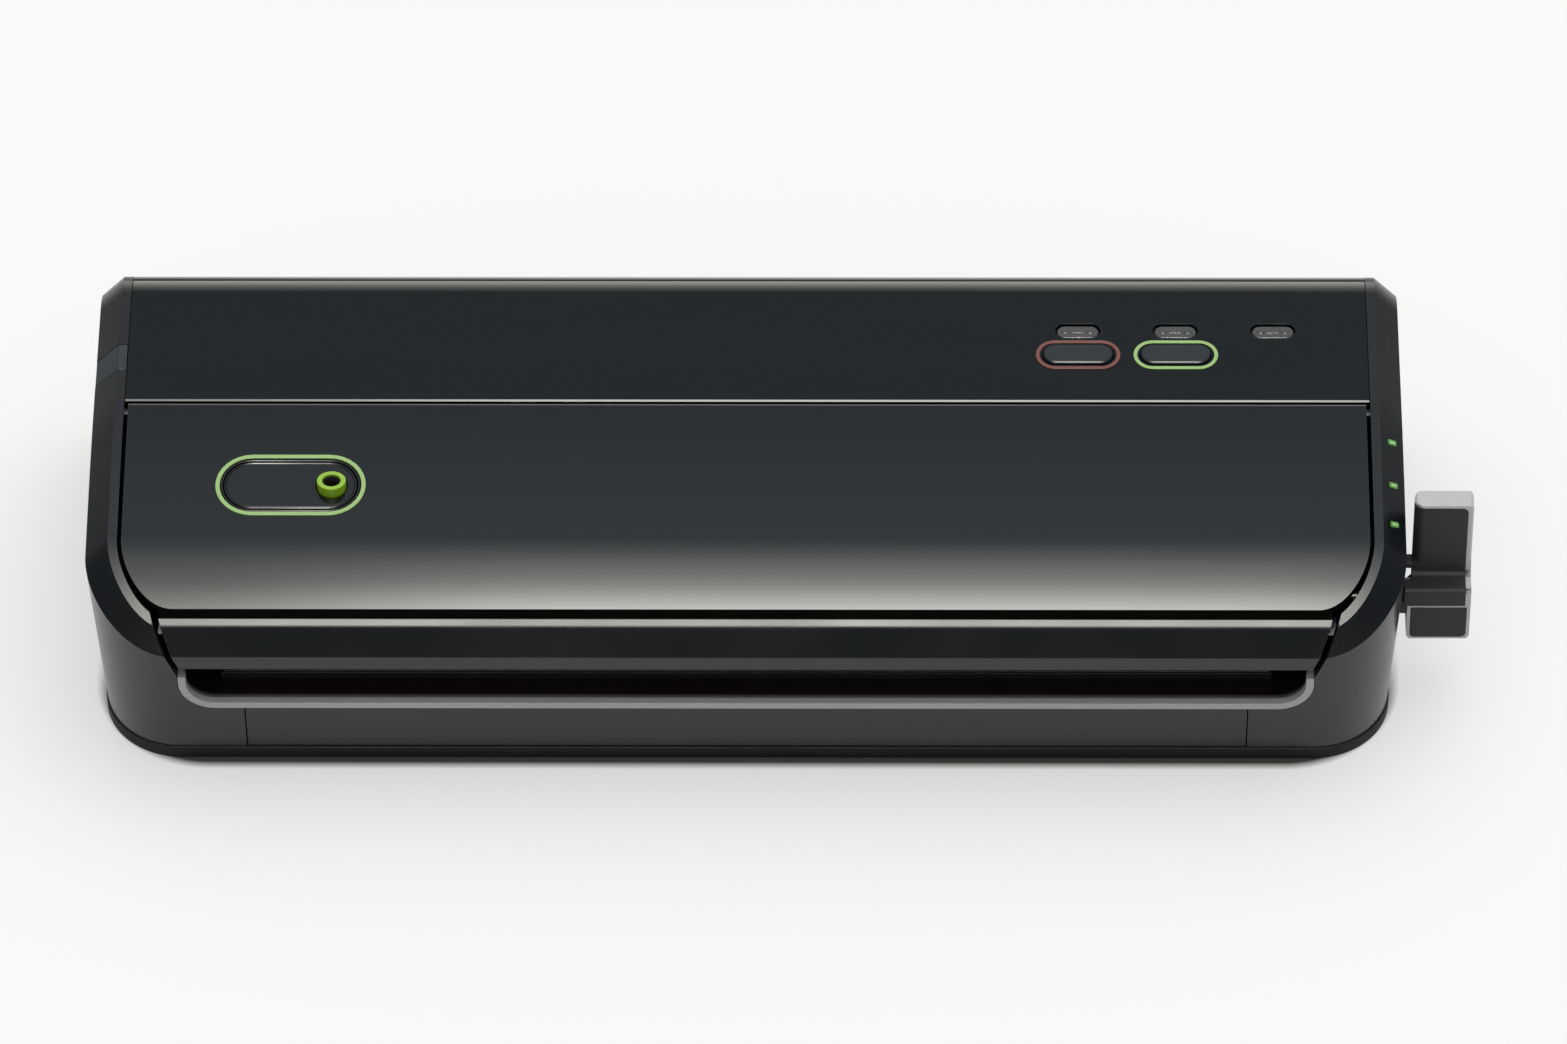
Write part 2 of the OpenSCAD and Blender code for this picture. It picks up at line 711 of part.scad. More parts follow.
frame_top_z = hinge_z - hinge_r - 1.5;
post_pitch = half_w - 115;
post_r = 3;
module inner_frame() {
    color([0.16, 0.16, 0.17]) {
        difference() {
            union() {
                box(-panel_half + 1, panel_half - 1, partition_y, partition_y + partition_t,
                    skirt_z, frame_top_z);
                box(-panel_half + 1, panel_half - 1, partition_y, partition_y + 7, skirt_z, skirt_z + 2);
                // Shelf that carries the button board
                box(control_x - 20, control_x + 2 * control_pitch + 20, partition_y + partition_t - eps,
                    window_y + 14, board_z - board_t - 2, board_z - board_t);
            }
            hose_hole(partition_y - 1, partition_y + partition_t + 1);
        }
        // Posts that hold up the control panel
        for (i = [-2:1]) translate([i * post_pitch, partition_y + 12, 0]) {
            z_rod(0, 0, frame_top_z - 14, body_h - wall - seat_gap, post_r);
            box(-2, 2, partition_t - 12 - eps, 0, frame_top_z - 14, frame_top_z - 8);
        }
    }
}

module hose_hole(y0, y1) {
    xz_boss(hose_x, hose_z, y0, y1, hose_r + 0.3);
}

// ---------- sealing deck ----------

module channel_plan(grow) {
    rounded(2 * channel_half + 2 * grow, channel_w + 2 * grow, 6 + grow);
}

module gasket_plan() {
    difference() {
        channel_plan(gasket_in + gasket_w);
        channel_plan(gasket_in);
    }
}

module deck() {
    color([0.62, 0.62, 0.61]) difference() {
        union() {
            // Front rim, turned up at both ends
            xz(deck_front_y, deck_front_y + lip_t) difference() {
                intersection() {
                    deck_outline(0);
                    translate([-half_w, 0]) square([body_w, shelf_z]);
                }
                translate([0, lip_t]) deck_inner_outline();
            }
            // Floor behind it, with turned-up ends
            xz(deck_front_y, partition_y - 0.3) difference() {
                intersection() {
                    deck_outline(0);
                    translate([-half_w, 0]) square([body_w, shelf_z]);
                }
                deck_floor_outline();
            }
            box(-deck_half + rim_r, deck_half - rim_r, housing_in_y + 1, partition_y - 0.3,
                deck_low, deck_z);
            translate([0, channel_y, channel_floor_z - deck_t]) linear_extrude(channel_depth + deck_t)
                channel_plan(deck_t);
        }
        translate([0, channel_y, channel_floor_z]) linear_extrude(60) channel_plan(0);
        translate([0, channel_y, deck_z]) linear_extrude(60) channel_plan(6);
        // Seat of the seal bar
        box(-seal_half - seat_gap, seal_half + seat_gap, seal_y - seal_bar_w / 2 - seat_gap,
            seal_y + seal_bar_w / 2 + seat_gap, deck_z - 1, deck_z + 8);
        hose_hole(channel_y, partition_y + 1);
    }
}

module deck_inner_outline() {
    x = deck_half - lip_t;
    r = rim_r - lip_t;
    low = lip_z - lip_t;
    translate([-x, low + r]) square([2 * x, 60]);
    translate([-x + r, low]) square([2 * (x - r), r + eps]);
    for (s = [-1, 1]) translate([s * (x - r), low + r]) circle(r);
}

module deck_floor_outline() {
    x = deck_half - 2;
    r = rim_r - 2;
    translate([-x, deck_z + r]) square([2 * x, 60]);
    translate([-x + r, deck_z]) square([2 * (x - r), r + eps]);
    for (s = [-1, 1]) translate([s * (x - r), deck_z + r]) circle(r);
}

// The lift-out drip tray: its floor, and the wall that stands on it
drip_gap = 0.6;
drip_t = 1.2;
drip_h = channel_depth - 2;
drip_floor_z = channel_floor_z + 0.1;
module drip_tray() {
    color([0.35, 0.37, 0.39]) translate([0, channel_y, drip_floor_z])
        linear_extrude(drip_t) channel_plan(-drip_gap);
}

module drip_tray_wall() {
    color([0.35, 0.37, 0.39]) translate([0, channel_y, drip_floor_z + drip_t]) linear_extrude(drip_h - drip_t)
        difference() {
            channel_plan(-drip_gap);
            channel_plan(-drip_gap - drip_t);
        }
}

module lower_gasket() {
    color([0.10, 0.10, 0.10]) translate([0, channel_y, deck_z])
        linear_extrude(gasket_h) gasket_plan();
}

bar_t = 2.4;
module seal_bar() {
    color([0.15, 0.15, 0.15]) box(-seal_half, seal_half, seal_y - seal_bar_w / 2, seal_y + seal_bar_w / 2,
        deck_z - 1, deck_z - 1 + bar_t + 1);
}

strip_t = 0.3;
module heating_strip() {
    color([0.72, 0.70, 0.66]) box(-seal_half + 4, seal_half - 4, seal_y - 1.5, seal_y + 1.5,
        deck_z + bar_t, deck_z + bar_t + strip_t);
}

tape_t = 0.3;
module release_tape() {
    color([0.62, 0.50, 0.32]) box(-seal_half + 1, seal_half - 1, seal_y - seal_bar_w / 2 + 0.3,
        seal_y + seal_bar_w / 2 - 0.3, deck_z + bar_t + strip_t, deck_z + bar_t + strip_t + tape_t);
}

// ---------- inner works ----------

bush_r = 6;
module pump_motor() {
    color([0.55, 0.56, 0.58]) difference() {
        union() {
            x_rod(motor_x - motor_l / 2, motor_x + motor_l / 2, motor_y, motor_z, motor_r);
            x_rod(motor_x - motor_l / 2 - 3, motor_x - motor_l / 2 + eps, motor_y, motor_z, bush_r);
        }
        x_rod(motor_x - motor_l / 2 - 4, motor_x - motor_l / 2 + 14, motor_y, motor_z, shaft_r + run_gap);
    }
}

module motor_shaft() {
    color([0.8, 0.8, 0.8])
        x_rod(motor_x - motor_l / 2 - shaft_out, motor_x - motor_l / 2 + 12, motor_y, motor_z, shaft_r);
}

module cooling_fan() {
    x1 = motor_x - motor_l / 2 - 9;
    color([0.85, 0.85, 0.82]) difference() {
        union() {
            x_rod(x1 - fan_t, x1, motor_y, motor_z, 6);
            x_rod(x1 - 1.2, x1, motor_y, motor_z, fan_r);
            for (i = [0:7]) translate([x1 - fan_t, motor_y, motor_z]) rotate([i * 45, 0, 0])
                translate([0, 5, -0.7]) cube([fan_t - 1, fan_r - 5.5, 1.4]);
        }
        x_rod(x1 - fan_t - 1, x1 + 1, motor_y, motor_z, shaft_r);
    }
}

module pump_head() {
    x0 = motor_x + motor_l / 2;
    color([0.30, 0.31, 0.33]) union() {
        box(x0, x0 + pump_l, motor_y - pump_w / 2, motor_y + pump_w / 2,
            motor_z - pump_h / 2, motor_z + pump_h / 2);
        for (s = [0.28, 0.72])
            z_rod(x0 + pump_l * s, motor_y, motor_z + pump_h / 2 - eps, motor_z + 0.75 * pump_h, 8.5);
        // Nipple for the hose
        xz_boss(hose_x, hose_z, motor_y - pump_w / 2 - nipple_l, motor_y - pump_w / 2 + eps, hose_bore_r);
    }
}

module pump_bracket() {
    x0 = motor_x + motor_l / 2;
    color([0.68, 0.69, 0.70]) difference() {
        union() {
            box(motor_x - 20, motor_x + 20, motor_y - motor_r - 1, motor_y + motor_r + 1,
                skirt_z, skirt_z + 1.6);
            for (s = [-1, 1]) box(motor_x + s * 14 - 3, motor_x + s * 14 + 3, motor_y - motor_r + 4,
                motor_y + motor_r - 4, skirt_z + 1.5, motor_z - motor_r / 3);
            box(x0 + 3, x0 + pump_l - 3, motor_y - pump_w / 2 + 3, motor_y + pump_w / 2 - 3,
                skirt_z, motor_z - pump_h / 2);
        }
        x_rod(motor_x - 30, motor_x + 25, motor_y, motor_z, motor_r);
    }
}

module vacuum_hose() {
    color([0.75, 0.75, 0.72]) difference() {
        xz_boss(hose_x, hose_z, channel_y + channel_w / 2 + deck_t + 5, motor_y - pump_w / 2 - 0.3, hose_r);
        xz_boss(hose_x, hose_z, channel_y, motor_y, hose_bore_r + run_gap);
    }
}

// Check valve behind the channel, between the channel's wall and the hose
module valve_block() {
    y0 = channel_y + channel_w / 2;
    y1 = y0 + deck_t + valve_l;
    color([0.80, 0.80, 0.78]) difference() {
        union() {
            xz_boss(hose_x, hose_z, y0, y0 + deck_t + 4.7, hose_r);
            xz_boss(hose_x, hose_z, y0 + deck_t, y1, hose_bore_r);
        }
        xz_boss(hose_x, hose_z, y0 - 1, y1 + 1, hose_bore_r - 0.8);
    }
}

module main_board() {
    z = skirt_z + board_lift;
    color([0.10, 0.33, 0.18]) difference() {
        box(board_x - board_l / 2, board_x + board_l / 2, motor_y - board_w / 2, motor_y + board_w / 2,
            z, z + board_t);
        for (p = board_points) z_rod(p[0], p[1], z - 1, z + board_t + 1, 1.3);
    }
    color([0.12, 0.12, 0.12]) {
        box(board_x - 36, board_x - 20, motor_y - 10, motor_y + 8, z + board_t, z + board_t + 15);
        box(board_x + 4, board_x + 14, motor_y + 4, motor_y + 14, z + board_t, z + board_t + 3);
        box(board_x + 22, board_x + 34, motor_y - 18, motor_y - 10, z + board_t, z + board_t + 10);
    }
}

// Each capacitor: place on the board, radius, height
capacitor_list = [[-8, -10, 6, 20], [8, -12, 5, 16], [-4, 10, 4, 12]];
module capacitors() {
    z = skirt_z + board_lift + board_t;
    color([0.15, 0.18, 0.35]) for (c = capacitor_list)
        z_rod(board_x + c[0], motor_y + c[1], z, z + c[3], c[2]);
}

module transformer() {
    // Laminated core, and the coil through it
    color([0.36, 0.33, 0.30]) translate([trafo_x, motor_y, skirt_z + rail_h + trafo_h / 2]) {
        cube([trafo_l, core_w, trafo_h], center = true);
        cube([0.6 * trafo_l, trafo_w, trafo_h - 12], center = true);
    }
}

module button_board() {
    color([0.10, 0.33, 0.18]) box(control_x - 18, control_x + 2 * control_pitch + 12, button_y - 9,
        window_y + 6, board_z - board_t, board_z);
}

switch_w = 6;
switch_body_h = 2.4;
module button_switches() {
    color([0.12, 0.12, 0.12]) for (x = button_xs) {
        translate([x, button_y, board_z + switch_body_h / 2])
            cube([switch_w, switch_w, switch_body_h], center = true);
        z_rod(x, button_y, board_z + switch_body_h - eps, board_z + switch_body_h + 0.8, 1.7);
    }
}

guide_z = board_z + 2.2;
module led_windows() {
    color([0.80, 0.82, 0.82, 0.6]) for (i = [0:2]) translate([control_x + i * control_pitch, window_y, 0]) {
        translate([0, 0, body_h - wall]) linear_extrude(wall - 0.2) pill(window_l, window_w);
        translate([0, 0, guide_z]) linear_extrude(body_h - wall - guide_z + eps)
            pill(window_l - 3, window_w - 1.4);
    }
}

module indicator_leds() {
    color([0.9, 0.9, 0.85]) for (i = [0:2], s = [-1, 1])
        translate([control_x + i * control_pitch + s * 2, window_y, board_z + 0.5])
        cube([1.6, 1.2, 1], center = true);
}

module button_cap() {
    // A cap with a foot that stays under the collar
    z = cap_foot_z + cap_foot_t;
    translate([0, 0, z]) linear_extrude(body_h + button_travel - z) pill(button_l, button_w);
    translate([0, 0, cap_foot_z]) linear_extrude(cap_foot_t + eps) pill(button_l + 3, button_w + 3);
}

module seal_button() {
    color([0.13, 0.13, 0.14]) translate([control_x, button_y, 0]) button_cap();
}

module vacuum_button() {
    color([0.13, 0.13, 0.14]) translate([control_x + control_pitch, button_y, 0]) button_cap();
}

trim_t = 1.1;
trim_h = 0.3;
module seal_button_trim() {
    color([0.50, 0.25, 0.22]) translate([control_x, button_y, body_h]) linear_extrude(trim_h)
        pill_ring(trim_l, trim_w, trim_t);
}

module vacuum_button_trim() {
    color([0.55, 0.80, 0.35]) translate([control_x + control_pitch, button_y, body_h])
        linear_extrude(trim_h) pill_ring(trim_l, trim_w, trim_t);
}

// Rubber tube that pushes a button back up, round its switch
dome_r = 4.9;
dome_t = 0.6;
module dome(x) {
    h = cap_foot_z - board_z;
    color([0.55, 0.55, 0.55]) translate([x, button_y, board_z]) difference() {
        cylinder(r = dome_r, h = h);
        translate([0, 0, -1]) cylinder(r = dome_r - dome_t, h = h + 2);
    }
}

module seal_button_dome() {
    dome(control_x);
}

module vacuum_button_dome() {
    dome(control_x + control_pitch);
}

// Switch that the right-hand hook presses when the latch is locked
switch_y = cross_y + hook_out * sin(nose_a0 + lever_turn + nose_len) + 1.8;
module latch_switch() {
    color([0.14, 0.14, 0.15]) {
        box(cheek_x + cheek_t, hook_x + hook_t, switch_y, switch_y + 10, shelf_z - 14.8, shelf_z - 5.8);
        box(hook_x + 0.8, hook_x + 1.8, switch_y - 1.4, switch_y + eps, shelf_z - 9.8, shelf_z - 7.4);
    }
}

module hinge_pins() {
    color([0.75, 0.76, 0.78]) both_sides()
        x_rod(lid_half - 12, half_w - 6.2, hinge_y, hinge_z, pin_r);
}

// ---------- lid ----------

lid_t = 2.4;
module lid_plan(grow) {
    intersection() {
        plan(lid_side - grow, lid_front - grow, hinge_y);
        translate([-half_w, front_y]) square([body_w, hinge_y - front_y]);
    }
}

port_plate_l = port_trim_l - 2 * trim_t - 0.8;
port_plate_w = port_trim_w - 2 * trim_t - 0.8;
plate_sink = 1.2;
module on_port(x) {
    translate([x, port_y, top_z(port_y)]) rotate([port_slope, 0, 0]) children();
}

module lid_panel() {
    color([0.05, 0.05, 0.06]) difference() {
        union() {
            intersection() {
                yz(-half_w, half_w) top_section(lid_front_y - 1, hinge_y, 0, lid_t);
                linear_extrude(body_h + 5) lid_plan(0);
            }
            x_rod(-lid_half, lid_half, hinge_y, hinge_z, hinge_r);
        }
        both_sides() x_rod(lid_half - 15, lid_half + 1, hinge_y, hinge_z, pin_r + run_gap);
        on_port(port_x) translate([0, 0, -plate_sink]) linear_extrude(5)
            pill(port_plate_l + 0.6, port_plate_w + 0.6);
        on_port(port_tube_x) translate([0, 0, -pipe_l]) cylinder(r = port_r + 0.1, h = pipe_l + 4);
    }
}

frame_drop = lid_t + 0.3;
frame_t = 1.8;
fascia_t = 2.6;
module fascia_section() {
    y_in = front_y + well_front + 0.7;
    y_out = front_y + bevel_front + 0.8;
    z_crease = top_z(front_y + bevel_front) - bevel_drop;
    y_low = front_y + wall_lean * (z_crease - fascia_z) / (z_crease - skirt_z);
    y_joint = front_y + well_front + 3.6;
    polygon([[y_in, top_z(y_in)], [y_out, top_z(y_out)], [front_y, z_crease], [y_low, fascia_z],
        [y_low + fascia_t, fascia_z], [front_y + fascia_t, z_crease - 0.8],
        [y_in, top_z(y_in) - frame_drop - 2.3], [y_joint, top_z(y_joint) - frame_drop - frame_t],
        [y_joint, top_z(y_joint) - frame_drop], [y_in + 0.4, top_z(y_in) - 3.4]]);
}

module fascia_face() {
    top = top_z(front_y + bevel_front);
    slant = (fascia_top_half - fascia_low_half) / (top - fascia_z);
    high = fascia_low_half + slant * (body_h - fascia_z);
    polygon([[-fascia_low_half, fascia_z - 1], [-fascia_low_half, fascia_z], [-high, body_h],
        [high, body_h], [fascia_low_half, fascia_z], [fascia_low_half, fascia_z - 1]]);
}

liner_y0 = seal_y - 6;
liner_y1 = channel_y + gasket_reach + gasket_w + 1;
liner_half = seal_half + 6;
liner_top_z = body_h - 17;
frame_side = 3;
lid_post_r = 3.4;
duct_r = 4;
pipe_r = 3.2;
frame_back_y = hinge_y - hinge_r - 1.2;
module lid_frame() {
    color([0.14, 0.16, 0.17]) difference() {
        union() {
            intersection() {
                yz(-half_w, half_w) fascia_section();
                xz(front_y - 1, front_y + 20) fascia_face();
            }
            // Plate under the glossy panel
            intersection() {
                yz(-half_w, half_w)
                    top_section(front_y + well_front + 3.5, frame_back_y, frame_drop, frame_drop + frame_t);
                linear_extrude(body_h) lid_plan(-0.8);
            }
            // Skirts along both sides
            both_sides() intersection() {
                yz(lid_half - 0.8 - frame_side, lid_half - 0.8) polygon(concat(
                    top_run(front_y + corner_r, frame_back_y, frame_drop + 1),
                    [[frame_back_y, hinge_z - 8], [front_y + corner_r, fascia_z + 6.5]]));
                linear_extrude(body_h) lid_plan(-0.8);
            }
            // Screw posts down to the liner
            for (p = lid_screw_points)
                z_rod(p[0], p[1], liner_z + liner_t + 1.5, top_z(p[1]) - frame_drop - 1, lid_post_r);
            // Blocks that carry the catches
            both_sides() box(lug_x - 1, lug_x + lug_t + 3, catch_y0 - 2, catch_y0 + catch_w + 2,
                fascia_z + 8.5, top_z(catch_y0 - 2) - frame_drop - 1);
        }
        for (p = lid_screw_points) z_rod(p[0], p[1], liner_z, liner_z + 13, screw_r + run_gap);
        on_port(port_tube_x) translate([0, 0, -30]) cylinder(r = pipe_r + 0.3, h = 40);
        both_sides() box(lug_x - seat_gap / 2, lug_x + lug_t + seat_gap / 2, catch_y0 - 0.1,
            catch_y0 + catch_w + 0.1, fascia_z + 7.5, catch_top_z + seat_gap);
    }
}

lid_screw_x = channel_half - 16;
lid_screw_points = [for (x = [-lid_screw_x, -lid_screw_x / 3, lid_screw_x / 3, lid_screw_x], y = [-1, 1])
    [x, channel_y + y * channel_w / 4]];
liner_t = 3;
liner_wall = 2;
module lid_liner() {
    color([0.18, 0.19, 0.20]) difference() {
        union() {
            difference() {
                translate([0, (liner_y0 + liner_y1) / 2, liner_z]) linear_extrude(liner_top_z - liner_z)
                    rounded(2 * liner_half, liner_y1 - liner_y0, 8);
                translate([0, (liner_y0 + liner_y1) / 2, liner_z + liner_t]) linear_extrude(body_h)
                    rounded(2 * (liner_half - liner_wall), liner_y1 - liner_y0 - 2 * liner_wall, 6);
            }
            for (p = lid_screw_points) z_rod(p[0], p[1], liner_z + 2, liner_z + 4.3, 4);
        }
        // The liner's rim stays under the frame plate
        yz(-half_w, half_w) polygon(concat(top_run(front_y, hinge_y, frame_drop + frame_t + 0.3),
            [[hinge_y, 2 * body_h], [front_y, 2 * body_h]]));
        for (p = lid_screw_points) {
            z_rod(p[0], p[1], liner_z - 1, liner_z + 6, screw_r + run_gap);
            z_rod(p[0], p[1], liner_z - 1, liner_z + screw_head_t, screw_head_r + seat_gap);
        }
        // Hole below the accessory duct
        translate([port_tube_x, port_y, liner_z - 1]) cylinder(r = port_hole_r, h = 5);
    }
}

module upper_gasket() {
    color([0.10, 0.10, 0.10]) translate([0, channel_y, deck_z + gasket_h + move_gap])
        linear_extrude(liner_z - deck_z - gasket_h - move_gap) gasket_plan();
}

module pressure_strip() {
    color([0.45, 0.10, 0.08]) box(-seal_half, seal_half, seal_y - 2.5, seal_y + 2.5,
        deck_z + bar_t + strip_t + tape_t + move_gap, liner_z);
}

module accessory_plate() {
    color([0.06, 0.06, 0.07]) on_port(port_x) difference() {
        translate([0, 0, 0.05 - plate_sink]) linear_extrude(plate_sink + 0.15)
            pill(port_plate_l, port_plate_w);
        translate([port_tube_x - port_x, 0, -5]) cylinder(r = port_r + 0.1, h = 10);
    }
}

module accessory_trim() {
    color([0.55, 0.80, 0.35]) on_port(port_x)
        linear_extrude(trim_h) pill_ring(port_trim_l, port_trim_w, trim_t);
}

port_h = 3;
pipe_l = 8;
module accessory_port() {
    color([0.58, 0.80, 0.20]) on_port(port_tube_x) difference() {
        union() {
            translate([0, 0, -lid_t]) cylinder(r = port_r, h = port_h + lid_t);
            translate([0, 0, -pipe_l]) cylinder(r = pipe_r, h = pipe_l);
        }
        translate([0, 0, -pipe_l - 2]) cylinder(r = port_hole_r, h = 20);
    }
}

module accessory_duct() {
    z1 = top_z(port_y) - pipe_l - 0.6;
    color([0.75, 0.75, 0.72]) difference() {
        z_rod(port_tube_x, port_y, liner_z + liner_t, z1, duct_r);
        z_rod(port_tube_x, port_y, liner_z, z1 + 1, port_hole_r + run_gap);
    }
}

module lid_catches() {
    color([0.60, 0.61, 0.63]) both_sides() {
        box(lug_x, lug_x + lug_t, catch_y0, catch_y0 + catch_w, fascia_z + 1, catch_top_z);
        box(lug_x, lug_x + lug_t, catch_y - catch_leg_w / 2, catch_y + catch_leg_w / 2, catch_z - 2.6,
            fascia_z + 1 + eps);
        x_rod(hook_x - 0.3, lug_x + eps, catch_y, catch_z, catch_pin_r);
    }
}

module lid_screws() {
    color([0.6, 0.6, 0.62]) for (p = lid_screw_points) translate([p[0], p[1], liner_z + 0.1]) screw(screw_l);
}

// ---------- latch ----------

lever_in = half_w + 2.5;
lever_out = half_w + lever_reach;
lever_tip_z = lever_z + lever_up;
paddle_t = 6.3;
paddle_y0 = lever_y + 1;
ledge_z = lever_z + 9;
ledge_y0 = paddle_y0 - 8.7;
hub_z = ledge_z - paddle_t;
foot_z = hub_z - 10.7;
foot_y = ledge_y0 + 1.2;
lever_sink = 5;
socket_l = 9;

module lever_side() {
    y1 = paddle_y0 + paddle_t;
    polygon([[paddle_y0, lever_tip_z], [y1, lever_tip_z], [y1, foot_z + 2], [y1 - 2, foot_z],
        [foot_y + 1.8, foot_z], [foot_y, foot_z + 2], [foot_y, hub_z], [ledge_y0, hub_z],
        [ledge_y0, ledge_z], [paddle_y0, ledge_z]]);
}

module lever_front() {
    polygon([[lever_in, lever_tip_z], [lever_out, lever_tip_z], [lever_out, ledge_z + 10],
        [lever_out - 1.4, hub_z], [lever_out - 2.2, foot_z], [lever_in, foot_z]]);
}

cover_in = 1.4;
module lever_cover_block(grow) {
    x0 = lever_in + cover_in - grow;
    x1 = lever_out - cover_in - 0.6 + grow;
    difference() {
        union() {
            box(x0, x1, paddle_y0 - 1, paddle_y0 + 1.6 + grow, ledge_z - 2, lever_tip_z - 1.4 + grow);
            box(x0, x1, ledge_y0 - 1, paddle_y0 + 1.6 + grow, hub_z, ledge_z + 1);
        }
        x_rod(lever_in - 1, lever_out + 1, lever_y, lever_z, lever_shaft_r + 1.4 - grow);
    }
}

module lever_shell() {
    color([0.64, 0.64, 0.63]) difference() {
        union() {
            intersection() {
                yz(half_w, lever_out + 1) lever_side();
                xz(ledge_y0 - 1, paddle_y0 + paddle_t + 1) lever_front();
            }
            x_rod(half_w - 0.9, lever_in + eps, lever_y, lever_z, shaft_boss_r - 0.4);
        }
        lever_cover_block(0.1);
        x_rod(half_w - 5, lever_in + socket_l, lever_y, lever_z, lever_shaft_r);
        x_rod(lever_in, lever_out + 5, lever_y, lever_z, screw_r + run_gap);
        x_rod(lever_out - lever_sink, lever_out + 5, lever_y, lever_z, screw_head_r + seat_gap);
    }
}

module lever_cover() {
    color([0.16, 0.17, 0.18]) intersection() {
        yz(half_w, lever_out + 1) lever_side();
        lever_cover_block(0);
    }
}

module lever_screw() {
    color([0.6, 0.6, 0.62]) translate([lever_out - lever_sink + screw_head_t - 0.1, lever_y, lever_z])
        rotate([0, -90, 0]) screw(screw_l - 2);
}

// Crank arm with its pin, pointing forward at rest
module crank(y, z) {
    x_rod(crank_x, crank_x + crank_t, y, z, cross_r + 1.5);
    box(crank_x, crank_x + crank_t, y - crank_l, y, z - crank_w / 2, z + crank_w / 2);
    x_rod(crank_x, crank_x + crank_t, y - crank_l, z, crank_w / 2);
    x_rod(crank_x, link_x + link_t + 0.6, y - crank_l, z, crank_pin_r);
}

module latch_shaft() {
    color([0.70, 0.71, 0.73]) difference() {
        union() {
            x_rod(crank_x, lever_in + socket_l - 0.5, lever_y, lever_z, lever_shaft_r);
            crank(lever_y, lever_z);
        }
        x_rod(lever_in, lever_in + 20, lever_y, lever_z, screw_r);
    }
}

module cross_shaft() {
    color([0.70, 0.71, 0.73]) union() {
        x_rod(-lug_x + 0.2, crank_x + eps, cross_y, cross_z, cross_r);
        crank(cross_y, cross_z);
    }
}

module latch_link() {
    y = lever_y - crank_l;
    color([0.60, 0.61, 0.63]) difference() {
        union() {
            box(link_x, link_x + link_t, y - crank_w / 2, y + crank_w / 2, cross_z, lever_z);
            for (z = [cross_z, lever_z]) x_rod(link_x, link_x + link_t, y, z, crank_w / 2);
        }
        for (z = [cross_z, lever_z]) x_rod(link_x - 1, link_x + link_t + 1, y, z, crank_pin_r + run_gap);
    }
}

module hook_shape() {
    // Drawn in the Y-Z plane about the cross shaft's axis, angles from straight up towards the back
    function spoke(r, a) = [r * sin(a), r * cos(a)];
    polygon(concat([[0, 0]], [spoke(9, nose_a0 - 32), spoke(hook_out - 1, nose_a0 - 16)],
        [for (i = [0:6]) spoke(hook_out, nose_a0 - 12 + i * (nose_len + 12) / 6)],
        [spoke(hook_in, nose_a0 + nose_len), spoke(hook_in, nose_a0), spoke(9, nose_a0 + 6)]));
}

module latch_hooks() {
    color([0.66, 0.67, 0.68]) both_sides() difference() {
        union() {
            translate([hook_x, cross_y, cross_z]) rotate([90, 0, 90]) linear_extrude(hook_t) hook_shape();
            x_rod(hook_x, hook_x + hook_t, cross_y, cross_z, cross_r + 1.5);
        }
        x_rod(hook_x - 1, hook_x + hook_t + 1, cross_y, cross_z, cross_r);
    }
}

base_tray();
left_end_cap();
right_end_cap();
left_cap_inset();
front_panel();
rear_cover();
control_panel();
inner_frame();
deck();
drip_tray();
drip_tray_wall();
lower_gasket();
seal_bar();
heating_strip();
release_tape();
pump_motor();
pump_head();
pump_bracket();
vacuum_hose();
valve_block();
main_board();
transformer();
capacitors();
button_board();
button_switches();
led_windows();
indicator_leds();
latch_switch();
cord_gland();
rubber_feet();
base_screws();
rear_screws();
hinge_pins();
position_marks();
seal_button_trim();
vacuum_button_trim();
seal_button_dome();
vacuum_button_dome();
seal_button();
vacuum_button();
lid_panel();
lid_frame();
lid_liner();
upper_gasket();
pressure_strip();
accessory_plate();
accessory_trim();
accessory_port();
accessory_duct();
lid_catches();
lid_screws();
lever_shell();
lever_cover();
lever_screw();
latch_shaft();
latch_link();
cross_shaft();
latch_hooks();
motor_shaft();
cooling_fan();
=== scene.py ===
"""Finished look of a countertop vacuum sealer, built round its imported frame.

Lengths in the code are in millimetres.
"""

import math

import bmesh
import bpy
from bpy.props import FloatProperty, FloatVectorProperty, PointerProperty
from mathutils import Matrix, Vector


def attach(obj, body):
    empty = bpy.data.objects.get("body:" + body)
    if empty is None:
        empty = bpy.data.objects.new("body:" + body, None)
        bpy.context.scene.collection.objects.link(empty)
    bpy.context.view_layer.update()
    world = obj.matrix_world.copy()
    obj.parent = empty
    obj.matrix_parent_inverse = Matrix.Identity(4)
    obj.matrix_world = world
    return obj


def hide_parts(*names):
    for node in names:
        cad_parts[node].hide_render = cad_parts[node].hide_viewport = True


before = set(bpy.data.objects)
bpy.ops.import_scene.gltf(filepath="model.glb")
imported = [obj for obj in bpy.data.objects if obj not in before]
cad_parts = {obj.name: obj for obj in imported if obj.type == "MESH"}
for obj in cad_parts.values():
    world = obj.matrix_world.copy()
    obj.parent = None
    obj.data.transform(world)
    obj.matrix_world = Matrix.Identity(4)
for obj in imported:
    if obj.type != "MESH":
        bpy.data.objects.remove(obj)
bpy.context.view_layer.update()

bl_info = {
    "name": "Vacuum Sealer",
    "version": (1, 0, 0),
    "blender": (4, 5, 0),
    "location": "View3D > Sidebar > Sealer",
    "description": "Builds the finished pieces, materials and studio of a countertop vacuum sealer",
    "category": "Object",
}

MM = 0.001
# Names of the finished materials start with this, apart from those that the frame brings
OWN = "sealer_"

